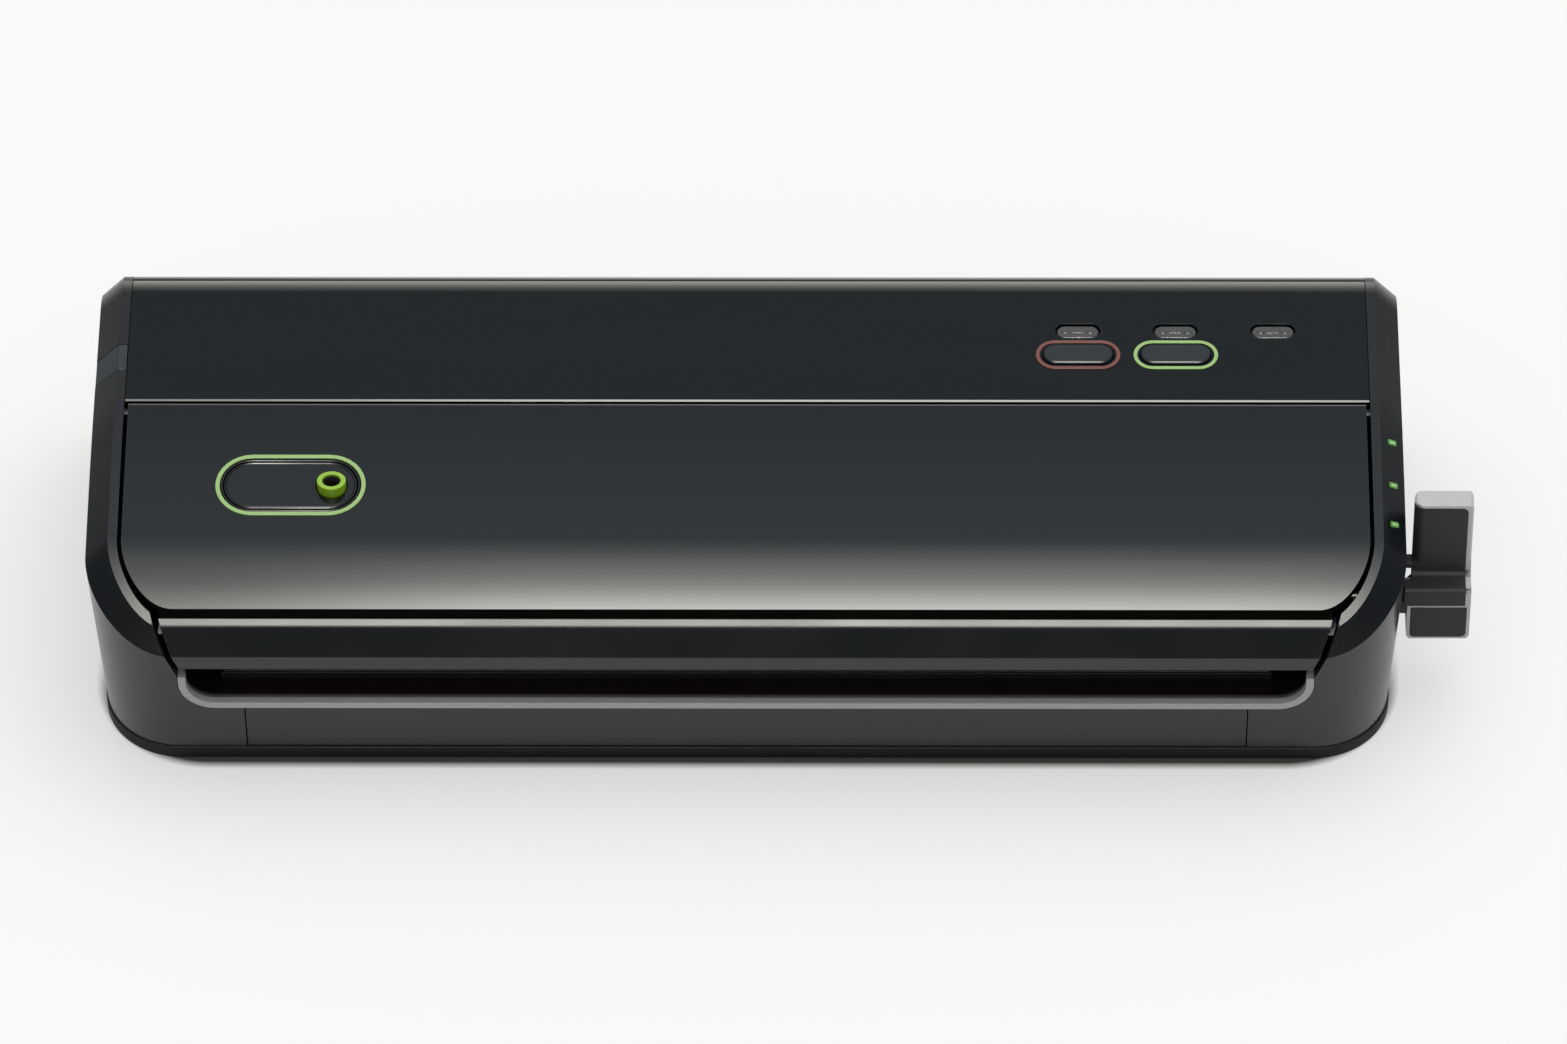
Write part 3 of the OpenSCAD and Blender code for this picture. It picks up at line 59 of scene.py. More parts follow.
# Housing form
HALF_W = 190.0
FRONT_Y = -67.0
BACK_Y = 67.0
TOP_Z = 75.0
CORNER_R = 25.6
BACK_R = 16.0
ROUND_Y = BACK_Y - BACK_R
WALL_LEAN = 3.6
WALL = 2.5
BEVEL_SIDE = 6.8
BEVEL_FRONT = 3.3
BEVEL_DROP = 7.8

RIM_SIDE = 9.5
RIM_FRONT = 5.19
SKIRT_Z = 5.0
SHELF_Z = 37.3
CAP_IN_X = 145.0
RIM_R = 10.5
# The deck is light in front of this stretch of Y and dark behind it: a dark second moulding, with painted
# shade under the fascia in the ramp between
DECK_DARK_AND_SHADE_Y = (-63.4, -60.9)
PLINTH_IN = 3.2
FASCIA_Z = 41.5
FASCIA_HALF = (163.0, 167.6)
FASCIA_CUT_Y = -58.3
GROOVE_Y = FASCIA_CUT_Y - 2.4

# Right-hand end cap
CHEEK_X = (164.1, 166.1)
CHEEK_Y = (-62.5, 1.7)
SHELF_LOW_Z = 35.3
SCREW_AT = (168.0, -52.0)
SCREW_R = 1.45
CROSS_AXIS = (-30.0, 11.5)
LEVER_AXIS = (-30.0, 33.5)
SPINDLE_R = 4.0
MARK_Y = (-33.2, -19.5, -4.0)
MARK = (3.7, 2.0)
INSET_Y = (20.4, 30.6)

# Painted contact shadow on the floor at the sealer's front: half lengths, corner radius, soft edge and colour
PAINTED_SHADOW_HALF = (186.8, 64.4)
PAINTED_SHADOW_R = 31.0
PAINTED_SHADOW_EDGE = (0.8, 3.6)
PAINTED_SHADOW_COLOUR = (0.034, 0.030, 0.027)
# Brightness of the backdrop, and the height in the sky where the room is brightest
BACKDROP = 0.86
ROOM_Z = 0.737

# Lid form
SEAM_Y = 6.0
LID_SLOPE = math.radians(3.0)
NOSE_L = 25.6
BOW_R = 450.0
NOSE_R = 21.7
KNEE_Y = FRONT_Y + NOSE_L
FLAT_L = SEAM_Y - KNEE_Y
KNEE_SLOPE = math.tan(LID_SLOPE) + FLAT_L / BOW_R
KNEE_Z = TOP_Z - FLAT_L * math.tan(LID_SLOPE) - FLAT_L**2 / (2 * BOW_R)
LID_SIDE = 10.7
LID_FRONT = 7.57
LID_HALF = HALF_W - LID_SIDE
LID_T = 2.4
LID_UNDERCUT = 1.9
LIP_DROP = 0.2
HINGE_R = 3.0
HINGE_Z = TOP_Z - HINGE_R - 0.1
PIN_R = 1.55

# Panel of the controls
PANEL_HALF = 180.3
PANEL_EDGE_Y = SEAM_Y + 2.2
PANEL_LOW_Z = 56.2
PANEL_CHAMFER = 0.42
CONTROL_X = HALF_W * 0.506
CONTROL_PITCH = 28.4
BUTTON_Y = BACK_Y - 40.5
BUTTON = (20.2, 7.2)
WINDOW_Y = BUTTON_Y + 9.7
WINDOW = (12.2, 4.8)

# Accessory port
PORT_X = -(HALF_W - 58.8)
PORT_Y = SEAM_Y - 29.0
PORT_TRIM = (43.4, 21.5)
PORT_PLATE = (40.4, 18.5)
TUBE_X = PORT_X + PORT_TRIM[0] / 2 - PORT_TRIM[1] / 2 + 0.9
TUBE_R = 4.2
TUBE_HOLE_R = 2.65
TUBE_H = 3.0


def top_z(y):
    """Height of the top surface: level panel, rounded back edge, bowed lid and its falling nose."""
    if y > ROUND_Y:
        return TOP_Z - BACK_R + math.sqrt(max(0.0, BACK_R**2 - (y - ROUND_Y) ** 2))
    if y > SEAM_Y:
        return TOP_Z
    if y > KNEE_Y:
        s = SEAM_Y - y
        return TOP_Z - s * math.tan(LID_SLOPE) - s * s / (2 * BOW_R)
    s = KNEE_Y - y
    return KNEE_Z - s * KNEE_SLOPE - s * s / (2 * NOSE_R)


PORT_SLOPE = math.tan(LID_SLOPE) + (SEAM_Y - PORT_Y) / BOW_R


# ---------------------------------------------------------------- mesh tools


def fresh():
    """New empty shape."""
    return bmesh.new()


def everything(bm):
    """All vertices, edges and faces of a shape."""
    return bm.verts[:] + bm.edges[:] + bm.faces[:]


def arc(bm, centre, radii, start, sweep, steps):
    """Chain of vertices along part of an ellipse in the XY plane."""
    first = len(bm.verts)
    seed = bm.verts.new((math.cos(start), math.sin(start), 0.0))
    bmesh.ops.spin(bm, geom=[seed], cent=(0, 0, 0), axis=(0, 0, 1), angle=sweep, steps=steps)
    bm.verts.ensure_lookup_table()
    chain = bm.verts[first:]
    bmesh.ops.scale(bm, vec=(radii[0], radii[1], 1.0), verts=chain)
    bmesh.ops.translate(bm, vec=(centre[0], centre[1], 0.0), verts=chain)
    return chain


def join_chains(bm, chains):
    """Closes chains of vertices, each following the last, into one flat face."""
    for here, after in zip(chains, chains[1:] + chains[:1]):
        a, b = here[-1], after[0]
        if (a.co - b.co).length < 1e-6:
            continue
        bm.edges.new((a, b))
    edges = {e for chain in chains for v in chain for e in v.link_edges}
    return bmesh.ops.contextual_create(bm, geom=list(edges))["faces"][0]


def plan_face(bm, dx, dy, back, steps=28):
    """Outline seen from above, stepped in by dx at the sides and dy at the front."""
    radii = (CORNER_R - dx, CORNER_R - dy)
    centre = (HALF_W - CORNER_R, FRONT_Y + CORNER_R)
    right = arc(bm, centre, radii, -math.pi / 2, math.pi / 2, steps)
    rear = [bm.verts.new((HALF_W - dx, back, 0.0)), bm.verts.new((dx - HALF_W, back, 0.0))]
    left = arc(bm, (-centre[0], centre[1]), radii, math.pi, math.pi / 2, steps)
    return join_chains(bm, [right, [rear[0]], [rear[1]], left])


def pill_face(bm, length, width, steps=16):
    """Flat face with straight sides and half-round ends, centred on the origin."""
    r, half = width / 2, (length - width) / 2
    right = arc(bm, (half, 0), (r, r), -math.pi / 2, math.pi, steps)
    left = arc(bm, (-half, 0), (r, r), math.pi / 2, math.pi, steps)
    return join_chains(bm, [right, left])


def rounded_face(bm, corners, radii, steps=8):
    """Flat face whose corners are each rounded to their own radius."""
    chains = []
    for i, (corner, r) in enumerate(zip(corners, radii)):
        here = Vector(corner)
        if r <= 0:
            chains.append([bm.verts.new((*corner, 0.0))])
            continue
        before = (Vector(corners[i - 1]) - here).normalized()
        after = (Vector(corners[(i + 1) % len(corners)]) - here).normalized()
        half = before.angle(after) / 2
        centre = here + (before + after).normalized() * (r / math.sin(half))
        start = here + before * (r / math.tan(half)) - centre
        end = here + after * (r / math.tan(half)) - centre
        a0, a1 = math.atan2(start.y, start.x), math.atan2(end.y, end.x)
        sweep = (a1 - a0 + math.pi) % (2 * math.pi) - math.pi
        chains.append(arc(bm, centre, (r, r), a0, sweep, steps))
    return join_chains(bm, chains)


def prism(corners, radii, height, steps=8):
    """Upright block on the XY plane with rounded corners."""
    bm = fresh()
    raise_face(bm, rounded_face(bm, corners, radii, steps), height)
    return bm


def bar_x(x0, x1, corners, radii, steps=8):
    """Bar along X whose section in the YZ plane has these rounded corners."""
    bar = prism(corners, radii, x1 - x0, steps)
    return place(bar, (x0, 0, 0), Matrix(((0, 0, 1), (1, 0, 0), (0, 1, 0))))


def bar_y(y0, y1, corners, radii, steps=8):
    """Bar along Y whose section in the XZ plane has these rounded corners."""
    return place(prism(corners, radii, y1 - y0, steps), (0, y1, 0), Matrix.Rotation(math.pi / 2, 3, "X"))


def block(x0, x1, y0, y1, z0, z1):
    """Box between three pairs of planes."""
    bm = fresh()
    bmesh.ops.create_cube(bm, size=1.0)
    bmesh.ops.scale(bm, vec=(x1 - x0, y1 - y0, z1 - z0), verts=bm.verts)
    return place(bm, ((x0 + x1) / 2, (y0 + y1) / 2, (z0 + z1) / 2))


def raise_face(bm, face, height):
    """Turns a flat face into a closed block of that height."""
    out = bmesh.ops.extrude_face_region(bm, geom=[face], use_keep_orig=True)["geom"]
    moved = [g for g in out if isinstance(g, bmesh.types.BMVert)]
    bmesh.ops.translate(bm, vec=(0, 0, height), verts=moved)
    bmesh.ops.recalc_face_normals(bm, faces=bm.faces)
    return moved


def place(bm, move=(0, 0, 0), turn=None):
    """Turns a shape about the origin, then moves it."""
    verts = bm.verts[:]
    if turn is not None:
        bmesh.ops.rotate(bm, cent=(0, 0, 0), matrix=turn, verts=verts)
    bmesh.ops.translate(bm, vec=move, verts=verts)
    return bm


def pill_block(length, width, z0, z1, x=0.0, y=0.0):
    """Upright block with straight sides and half-round ends."""
    bm = fresh()
    raise_face(bm, pill_face(bm, length, width), z1 - z0)
    return place(bm, (x, y, z0))


def rod(length, r, segments):
    """Cylinder along Z with its middle at the origin."""
    bm = fresh()
    bmesh.ops.create_cone(bm, cap_ends=True, segments=segments, radius1=r, radius2=r, depth=length)
    return bm


def rod_x(x0, x1, y, z, r, segments=64):
    """Cylinder along X."""
    return place(rod(x1 - x0, r, segments), ((x0 + x1) / 2, y, z), Matrix.Rotation(math.pi / 2, 3, "Y"))


def rod_z(z0, z1, r, segments=64):
    """Cylinder along Z through the origin."""
    return place(rod(z1 - z0, r, segments), (0, 0, (z0 + z1) / 2))


def on_port(bm, x):
    """Moves a shape drawn about the origin onto the sloping lid at the accessory port."""
    return place(bm, (x, PORT_Y, top_z(PORT_Y)), Matrix.Rotation(math.atan(PORT_SLOPE), 3, "X"))


def temporary(bm):
    """Passing object that holds a shape for a modifier."""
    data = bpy.data.meshes.new("work")
    bm.to_mesh(data)
    bm.free()
    obj = bpy.data.objects.new("work", data)
    bpy.context.scene.collection.objects.link(obj)
    return obj


def add_shape(target, shape):
    """Adds a shape to another as it is."""
    data = bpy.data.meshes.new("work")
    shape.to_mesh(data)
    shape.free()
    target.from_mesh(data)
    bpy.data.meshes.remove(data)


def combine(bm, tools):
    """Applies (operation, shape) steps to a shape and returns the outcome."""
    body = temporary(bm)
    helpers = []
    for operation, tool in tools:
        helper = temporary(tool)
        helpers.append(helper)
        step = body.modifiers.new("step", "BOOLEAN")
        step.operation, step.object, step.solver = operation, helper, "EXACT"
    bpy.context.view_layer.update()
    shaped = body.evaluated_get(bpy.context.evaluated_depsgraph_get())
    out = fresh()
    out.from_mesh(shaped.data)
    for obj in [body, *helpers]:
        data = obj.data
        bpy.data.objects.remove(obj)
        bpy.data.meshes.remove(data)
    return out


def tidy_flats(bm, angle=0.3):
    """Welds loose triangles and clears the edges that cross flat areas."""
    bmesh.ops.remove_doubles(bm, verts=bm.verts, dist=0.004)
    bmesh.ops.dissolve_degenerate(bm, edges=bm.edges, dist=0.004)
    bmesh.ops.dissolve_limit(
        bm, angle_limit=math.radians(angle), verts=bm.verts, edges=bm.edges, use_dissolve_boundaries=False
    )
    return bm


def copy_of(node):
    """Welded copy of a frame node in millimetres."""
    bm = fresh()
    bm.from_mesh(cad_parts[node].data)
    bmesh.ops.scale(bm, vec=(1 / MM,) * 3, verts=bm.verts)
    return tidy_flats(bm)


def chamfered(bm, size, limit=34.0):
    """Cuts the sharp edges of a shape flat, so that each shows as one crisp line."""
    edges = [e for e in bm.edges if e.is_manifold and e.calc_face_angle() > math.radians(limit)]
    bmesh.ops.bevel(
        bm, geom=edges, offset=size, offset_type="OFFSET", segments=1, profile=0.5, affect="EDGES"
    )
    return bm


def make_piece(
    name, bm, body, material, nodes=(), bevel=0.0, segments=3, limit=34.0, smooth=34.0, crisp=False
):
    """Finished piece from a shape in millimetres.

    Its place stays in its mesh, and a bevel softens its edges.
    """
    bmesh.ops.scale(bm, vec=(MM,) * 3, verts=bm.verts)
    data = bpy.data.meshes.new(name)
    bm.to_mesh(data)
    bm.free()
    data.shade_smooth()
    data.set_sharp_from_angle(angle=math.radians(smooth))
    data.materials.append(bpy.data.materials[OWN + material])
    obj = bpy.data.objects.new(name, data)
    bpy.context.scene.collection.objects.link(obj)
    if bevel:
        soft = obj.modifiers.new("softened edges", "BEVEL")
        soft.width, soft.segments = bevel * MM, segments
        soft.limit_method, soft.angle_limit = "ANGLE", math.radians(limit)
        soft.use_clamp_overlap = True
        soft.harden_normals = False
        even = obj.modifiers.new("even shading", "WEIGHTED_NORMAL")
        even.keep_sharp = crisp
        even.weight = 60
    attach(obj, body)
    if nodes:
        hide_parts(*nodes)
    return obj


# ---------------------------------------------------------------- shader groups


class Wiring:
    """Small helper that places nodes in a tree and links them."""

    def __init__(self, tree):
        self.tree = tree

    def node(self, kind, **values):
        made = self.tree.nodes.new(kind)
        for key, value in values.items():
            setattr(made, key, value)
        return made

    def link(self, source, target):
        self.tree.links.new(source, target)

    def math(self, operation, a, b=None, clamp=False):
        made = self.node("ShaderNodeMath", operation=operation, use_clamp=clamp)
        for i, value in enumerate([a, b]):
            if value is None:
                continue
            if isinstance(value, (int, float)):
                made.inputs[i].default_value = value
            else:
                self.link(value, made.inputs[i])
        return made.outputs[0]

    def noise(self, vector, scale, detail=2.0, roughness=0.5):
        made = self.node("ShaderNodeTexNoise")
        self.link(vector, made.inputs["Vector"])
        if isinstance(scale, (int, float)):
            made.inputs["Scale"].default_value = scale
        else:
            self.link(scale, made.inputs["Scale"])
        made.inputs["Detail"].default_value = detail
        made.inputs["Roughness"].default_value = roughness
        return made.outputs["Fac"]

    def spread(self, value, low, high, from_low=0.0, from_high=1.0):
        made = self.node("ShaderNodeMapRange", clamp=True)
        for name, given in (
            ("Value", value),
            ("From Min", from_low),
            ("From Max", from_high),
            ("To Min", low),
            ("To Max", high),
        ):
            if isinstance(given, (int, float)):
                made.inputs[name].default_value = given
            else:
                self.link(given, made.inputs[name])
        return made.outputs["Result"]

    def mix(self, factor, a, b):
        made = self.node("ShaderNodeMix", data_type="RGBA")
        for socket, given in ((0, factor), (6, a), (7, b)):
            if isinstance(given, (int, float)):
                made.inputs[socket].default_value = given
            elif isinstance(given, (tuple, list)):
                made.inputs[socket].default_value = (*given[:3], 1.0)
            else:
                self.link(given, made.inputs[socket])
        return made.outputs[2]


def new_group(name, inputs, outputs):
    """Shader node group with named sockets; returns its wiring, its input node and its output node."""
    tree = bpy.data.node_groups.new(name, "ShaderNodeTree")
    for label, kind, default in inputs:
        socket = tree.interface.new_socket(name=label, in_out="INPUT", socket_type=kind)
        if default is not None:
            socket.default_value = default
    for label, kind in outputs:
        tree.interface.new_socket(name=label, in_out="OUTPUT", socket_type=kind)
    wires = Wiring(tree)
    return wires, tree.nodes.new("NodeGroupInput"), tree.nodes.new("NodeGroupOutput")


COLOUR, VALUE, VECTOR = "NodeSocketColor", "NodeSocketFloat", "NodeSocketVector"
FINISH_OUTPUTS = [("Colour", COLOUR), ("Roughness", VALUE), ("Height", VALUE)]
FINISH_INPUTS = [
    ("Place", VECTOR, None),
    ("Colour", COLOUR, (0.5, 0.5, 0.5, 1.0)),
    ("Shade", COLOUR, (0.4, 0.4, 0.4, 1.0)),
    ("Roughness Low", VALUE, 0.3),
    ("Roughness High", VALUE, 0.4),
]
# One turn in radians, as the weave uses it
FULL_TURN = 6.283


def put_out(w, given, out, tone, gloss, height):
    """Ends a group: tone mixes the two colours, gloss sets the roughness, height gives the relief.

    Tone and gloss are each a mask with the range over which it works.
    """
    blend = w.spread(tone[0], 0.0, 1.0, tone[1], tone[2])
    w.link(w.mix(blend, given.outputs["Colour"], given.outputs["Shade"]), out.inputs["Colour"])
    rough = w.spread(
        gloss[0], given.outputs["Roughness Low"], given.outputs["Roughness High"], gloss[1], gloss[2]
    )
    w.link(rough, out.inputs["Roughness"])
    w.link(height, out.inputs["Height"])
    return w.tree


def moulded_grain_group():
    """Fine spark-eroded grain of a moulded cover, with slow drifts of tone and gloss."""
    w, given, out = new_group(
        "Moulded grain", FINISH_INPUTS + [("Grain Scale", VALUE, 2500.0)], FINISH_OUTPUTS
    )
    spot, scale = given.outputs["Place"], given.outputs["Grain Scale"]
    grain = w.noise(spot, scale, 3.0, 0.6)
    drift = w.noise(spot, 28.0, 3.0, 0.55)
    fleck = w.noise(spot, w.math("MULTIPLY", scale, 0.31), 2.0, 0.5)
    tone = w.math("ADD", w.math("MULTIPLY", drift, 0.65), w.math("MULTIPLY", fleck, 0.35))
    gloss = w.math("ADD", w.math("MULTIPLY", drift, 0.5), w.math("MULTIPLY", grain, 0.5))
    height = w.math("ADD", grain, w.math("MULTIPLY", fleck, 0.8))
    return put_out(w, given, out, (tone, 0.3, 0.7), (gloss, 0.35, 0.65), height)


def gloss_film_group():
    """Polished plastic: faint waviness, a trace of wiping marks and fine dust in the gloss."""
    w, given, out = new_group("Gloss film", FINISH_INPUTS, FINISH_OUTPUTS)
    spot = given.outputs["Place"]
    wipe_map = w.node("ShaderNodeMapping")
    wipe_map.inputs["Scale"].default_value = (0.25, 1.6, 1.0)
    w.link(spot, wipe_map.inputs["Vector"])
    wipe = w.noise(wipe_map.outputs["Vector"], 60.0, 4.0, 0.55)
    speck = w.noise(spot, 1400.0, 1.0, 0.4)
    wave = w.noise(spot, 22.0, 1.0, 0.4)
    dust = w.math("MULTIPLY", w.math("POWER", speck, 4.0), 0.6)
    film = w.math("ADD", w.math("MULTIPLY", wipe, 0.75), dust)
    return put_out(w, given, out, (wipe, 0.35, 0.75), (film, 0.3, 0.75), wave)


def drawn_metal_group():
    """Metal with fine drawing lines along one direction and slight tarnish."""
    w, given, out = new_group(
        "Drawn metal", FINISH_INPUTS + [("Line Stretch", VECTOR, (0.05, 1.0, 1.0))], FINISH_OUTPUTS
    )
    stretch = w.node("ShaderNodeVectorMath", operation="MULTIPLY")
    w.link(given.outputs["Place"], stretch.inputs[0])
    w.link(given.outputs["Line Stretch"], stretch.inputs[1])
    lines = w.noise(stretch.outputs["Vector"], 2600.0, 3.0, 0.65)
    stain = w.noise(given.outputs["Place"], 90.0, 4.0, 0.6)
    both = w.math("ADD", w.math("MULTIPLY", lines, 0.5), w.math("MULTIPLY", stain, 0.5))
    return put_out(w, given, out, (stain, 0.35, 0.7), (both, 0.35, 0.65), lines)


def soft_rubber_group():
    """Rubber with a dry bloom and small pits."""
    w, given, out = new_group("Soft rubber", FINISH_INPUTS, FINISH_OUTPUTS)
    spot = given.outputs["Place"]
    bloom = w.noise(spot, 70.0, 4.0, 0.6)
    pits = w.noise(spot, 1800.0, 2.0, 0.55)
    height = w.spread(pits, 0.0, 1.0, 0.35, 0.6)
    return put_out(w, given, out, (bloom, 0.35, 0.7), (bloom, 0.3, 0.7), height)


def woven_cloth_group():
    """Plain weave of coated glass cloth."""
    w, given, out = new_group(
        "Woven cloth", FINISH_INPUTS + [("Thread Scale", VALUE, 1400.0)], FINISH_OUTPUTS
    )
    parts = w.node("ShaderNodeSeparateXYZ")
    w.link(given.outputs["Place"], parts.inputs["Vector"])
    waves = w.math("MULTIPLY", given.outputs["Thread Scale"], FULL_TURN)
    along = w.math("SINE", w.math("MULTIPLY", parts.outputs["X"], waves))
    across = w.math("SINE", w.math("MULTIPLY", parts.outputs["Y"], waves))
    mask = w.spread(w.math("MULTIPLY", along, across), 0.0, 1.0, -1.0, 1.0)
    return put_out(w, given, out, (mask, 0.0, 1.0), (mask, 0.0, 1.0), mask)


GROUPS = {
    "moulded": moulded_grain_group,
    "gloss": gloss_film_group,
    "metal": drawn_metal_group,
    "rubber": soft_rubber_group,
    "woven": woven_cloth_group,
}

# slot: (group, colour property, shade factor, roughness low, roughness high, bump distance in mm, extras)
FINISHES = {
    "base_plastic": ("moulded", "base_colour", 0.8, 0.55, 0.68, 0.020, {"Grain Scale": 2200.0}),
    "shaded_plastic": ("moulded", "base_colour", 0.8, 0.6, 0.75, 0.020, {"Grain Scale": 2200.0}),
    "cap_plastic": ("moulded", "cap_colour", 0.86, 0.24, 0.31, 0.005, {"Grain Scale": 3200.0}),
    "inset_plastic": ("moulded", "inset_colour", 0.9, 0.30, 0.40, 0.008, {"Grain Scale": 3000.0}),
    "front_plastic": ("moulded", "front_colour", 0.88, 0.30, 0.38, 0.008, {"Grain Scale": 2800.0}),
    "fascia_plastic": ("moulded", "fascia_colour", 0.88, 0.20, 0.28, 0.004, {"Grain Scale": 3000.0}),
    "liner_plastic": ("moulded", "liner_colour", 0.82, 0.36, 0.5, 0.015, {"Grain Scale": 2400.0}),
    "gloss_black": ("gloss", "gloss_colour", 0.8, 0.045, 0.085, 0.010, {}),
    "plate_edge": ("gloss", "plate_edge_colour", 0.85, 0.12, 0.18, 0.002, {}),
    "plate_black": ("gloss", "plate_colour", 0.85, 0.09, 0.16, 0.010, {}),
    "deck_grey": ("moulded", "deck_colour", 0.9, 0.28, 0.38, 0.008, {"Grain Scale": 2600.0}),
    "tray_grey": ("moulded", "tray_colour", 0.85, 0.34, 0.46, 0.012, {"Grain Scale": 2400.0}),
    "gasket_rubber": ("rubber", "gasket_colour", 1.5, 0.62, 0.78, 0.02, {}),
    "foot_rubber": ("rubber", "foot_colour", 1.4, 0.68, 0.82, 0.03, {}),
    "dome_rubber": ("rubber", "dome_colour", 0.8, 0.55, 0.7, 0.02, {}),
    "hose_rubber": ("rubber", "hose_colour", 0.85, 0.32, 0.48, 0.01, {}),
    "pressure_rubber": ("rubber", "pressure_colour", 0.8, 0.55, 0.7, 0.02, {}),
    "heater_metal": ("metal", "heater_colour", 0.7, 0.22, 0.4, 0.004, {"Line Stretch": (0.04, 1.0, 1.0)}),
    "release_tape": ("woven", "tape_colour", 0.82, 0.38, 0.52, 0.03, {"Thread Scale": 1100.0}),
    "motor_steel": ("metal", "motor_colour", 0.75, 0.3, 0.45, 0.006, {"Line Stretch": (1.0, 0.05, 0.05)}),
    "bracket_steel": ("metal", "bracket_colour", 0.8, 0.28, 0.42, 0.006, {"Line Stretch": (1.0, 0.06, 1.0)}),
    "shaft_steel": ("metal", "shaft_colour", 0.85, 0.16, 0.28, 0.003, {"Line Stretch": (1.0, 0.05, 0.05)}),
    "pin_steel": ("metal", "pin_colour", 0.8, 0.3, 0.42, 0.003, {"Line Stretch": (1.0, 0.05, 0.05)}),
    "screw_steel": ("metal", "screw_colour", 0.75, 0.22, 0.4, 0.003, {"Line Stretch": (1.0, 1.0, 0.1)}),
    "pump_plastic": ("moulded", "pump_colour", 0.8, 0.4, 0.55, 0.02, {"Grain Scale": 1800.0}),
    "valve_plastic": ("moulded", "valve_colour", 0.9, 0.35, 0.5, 0.012, {"Grain Scale": 2400.0}),
    "capacitor_sleeve": ("gloss", "capacitor_colour", 0.7, 0.2, 0.3, 0.01, {}),
    "green_mark": ("moulded", "mark_colour", 0.9, 0.3, 0.4, 0.006, {"Grain Scale": 3000.0}),
    "mark_core": ("moulded", "mark_core_colour", 0.95, 0.3, 0.4, 0.004, {"Grain Scale": 4000.0}),
    "green_trim": ("moulded", "green_trim_colour", 0.92, 0.28, 0.4, 0.004, {"Grain Scale": 4000.0}),
    "red_trim": ("moulded", "red_trim_colour", 0.9, 0.28, 0.4, 0.004, {"Grain Scale": 4000.0}),
    "port_green": ("moulded", "port_colour", 0.88, 0.3, 0.4, 0.008, {"Grain Scale": 2800.0}),
    "lever_grey": ("moulded", "lever_colour", 0.92, 0.3, 0.4, 0.008, {"Grain Scale": 2800.0}),
    "lever_dark": ("moulded", "lever_dark_colour", 0.88, 0.5, 0.62, 0.012, {"Grain Scale": 2600.0}),
    "button_black": ("moulded", "button_colour", 0.9, 0.20, 0.28, 0.003, {"Grain Scale": 3400.0}),
    "fan_plastic": ("moulded", "fan_colour", 0.9, 0.35, 0.48, 0.01, {"Grain Scale": 2400.0}),
    "transformer_iron": ("metal", "iron_colour", 0.6, 0.45, 0.6, 0.02, {"Line Stretch": (1.0, 0.08, 1.0)}),
    "circuit_board": ("gloss", "board_colour", 0.75, 0.28, 0.42, 0.01, {}),
}
# Finishes that shine less than plain plastic
DULL = {"base_plastic": 0.25, "shaded_plastic": 0.02, "lever_dark": 0.22, "deck_grey": 0.3}

METALS = {
    "heater_metal": 1.0,
    "motor_steel": 1.0,
    "bracket_steel": 1.0,
    "shaft_steel": 1.0,
    "pin_steel": 1.0,
    "screw_steel": 1.0,
    "transformer_iron": 0.6,
}


def principled(name):
    """New material that holds a Principled BSDF and its output; returns its wiring and shader."""
    made = bpy.data.materials.new(OWN + name)
    made.use_nodes = True
    tree = made.node_tree
    tree.nodes.clear()
    wires = Wiring(tree)
    shader = wires.node("ShaderNodeBsdfPrincipled")
    surface = wires.node("ShaderNodeOutputMaterial")
    wires.link(shader.outputs["BSDF"], surface.inputs["Surface"])
    return wires, shader


def find_node(name, kind):
    """First node of a kind in one of the finished materials."""
    nodes = bpy.data.materials[OWN + name].node_tree.nodes
    return next(n for n in nodes if n.type == kind)


def finish_material(name, tree, colour, factor, low, high, bump, extras):
    """Material of one finish, whose shader group feeds colour, roughness and relief."""
    wires, shader = principled(name)
    spot = wires.node("ShaderNodeTexCoord")
    group = wires.node("ShaderNodeGroup")
    group.node_tree = tree
    wires.link(spot.outputs["Object"], group.inputs["Place"])
    shade = [min(1.0, c * factor) for c in colour]
    group.inputs["Colour"].default_value = (*colour, 1.0)
    group.inputs["Shade"].default_value = (*shade, 1.0)
    group.inputs["Roughness Low"].default_value = low
    group.inputs["Roughness High"].default_value = high
    for key, value in extras.items():
        group.inputs[key].default_value = value
    wires.link(group.outputs["Colour"], shader.inputs["Base Color"])
    wires.link(group.outputs["Roughness"], shader.inputs["Roughness"])
    relief = wires.node("ShaderNodeBump")
    relief.inputs["Distance"].default_value = bump * MM
    relief.inputs["Strength"].default_value = 0.6
    wires.link(group.outputs["Height"], relief.inputs["Height"])
    wires.link(relief.outputs["Normal"], shader.inputs["Normal"])
    return shader


def dark_rear_and_painted_shade(name, dark, edge):
    """Makes a finish dark behind a line across Y: a dark second shot of plastic, with painted shade under the
    fascia's overhang in the soft ramp.
    """
    wires = Wiring(bpy.data.materials[OWN + name].node_tree)
    group, shader = find_node(name, "GROUP"), find_node(name, "BSDF_PRINCIPLED")
    parts = wires.node("ShaderNodeSeparateXYZ")
    wires.link(wires.node("ShaderNodeTexCoord").outputs["Object"], parts.inputs["Vector"])
    # Soft ramp to the dark rear: painted shade under the fascia's overhang
    behind = wires.spread(parts.outputs["Y"], 0.0, 1.0, edge[0] * MM, edge[1] * MM)
    wires.link(wires.mix(behind, group.outputs["Colour"], tuple(dark)), shader.inputs["Base Color"])


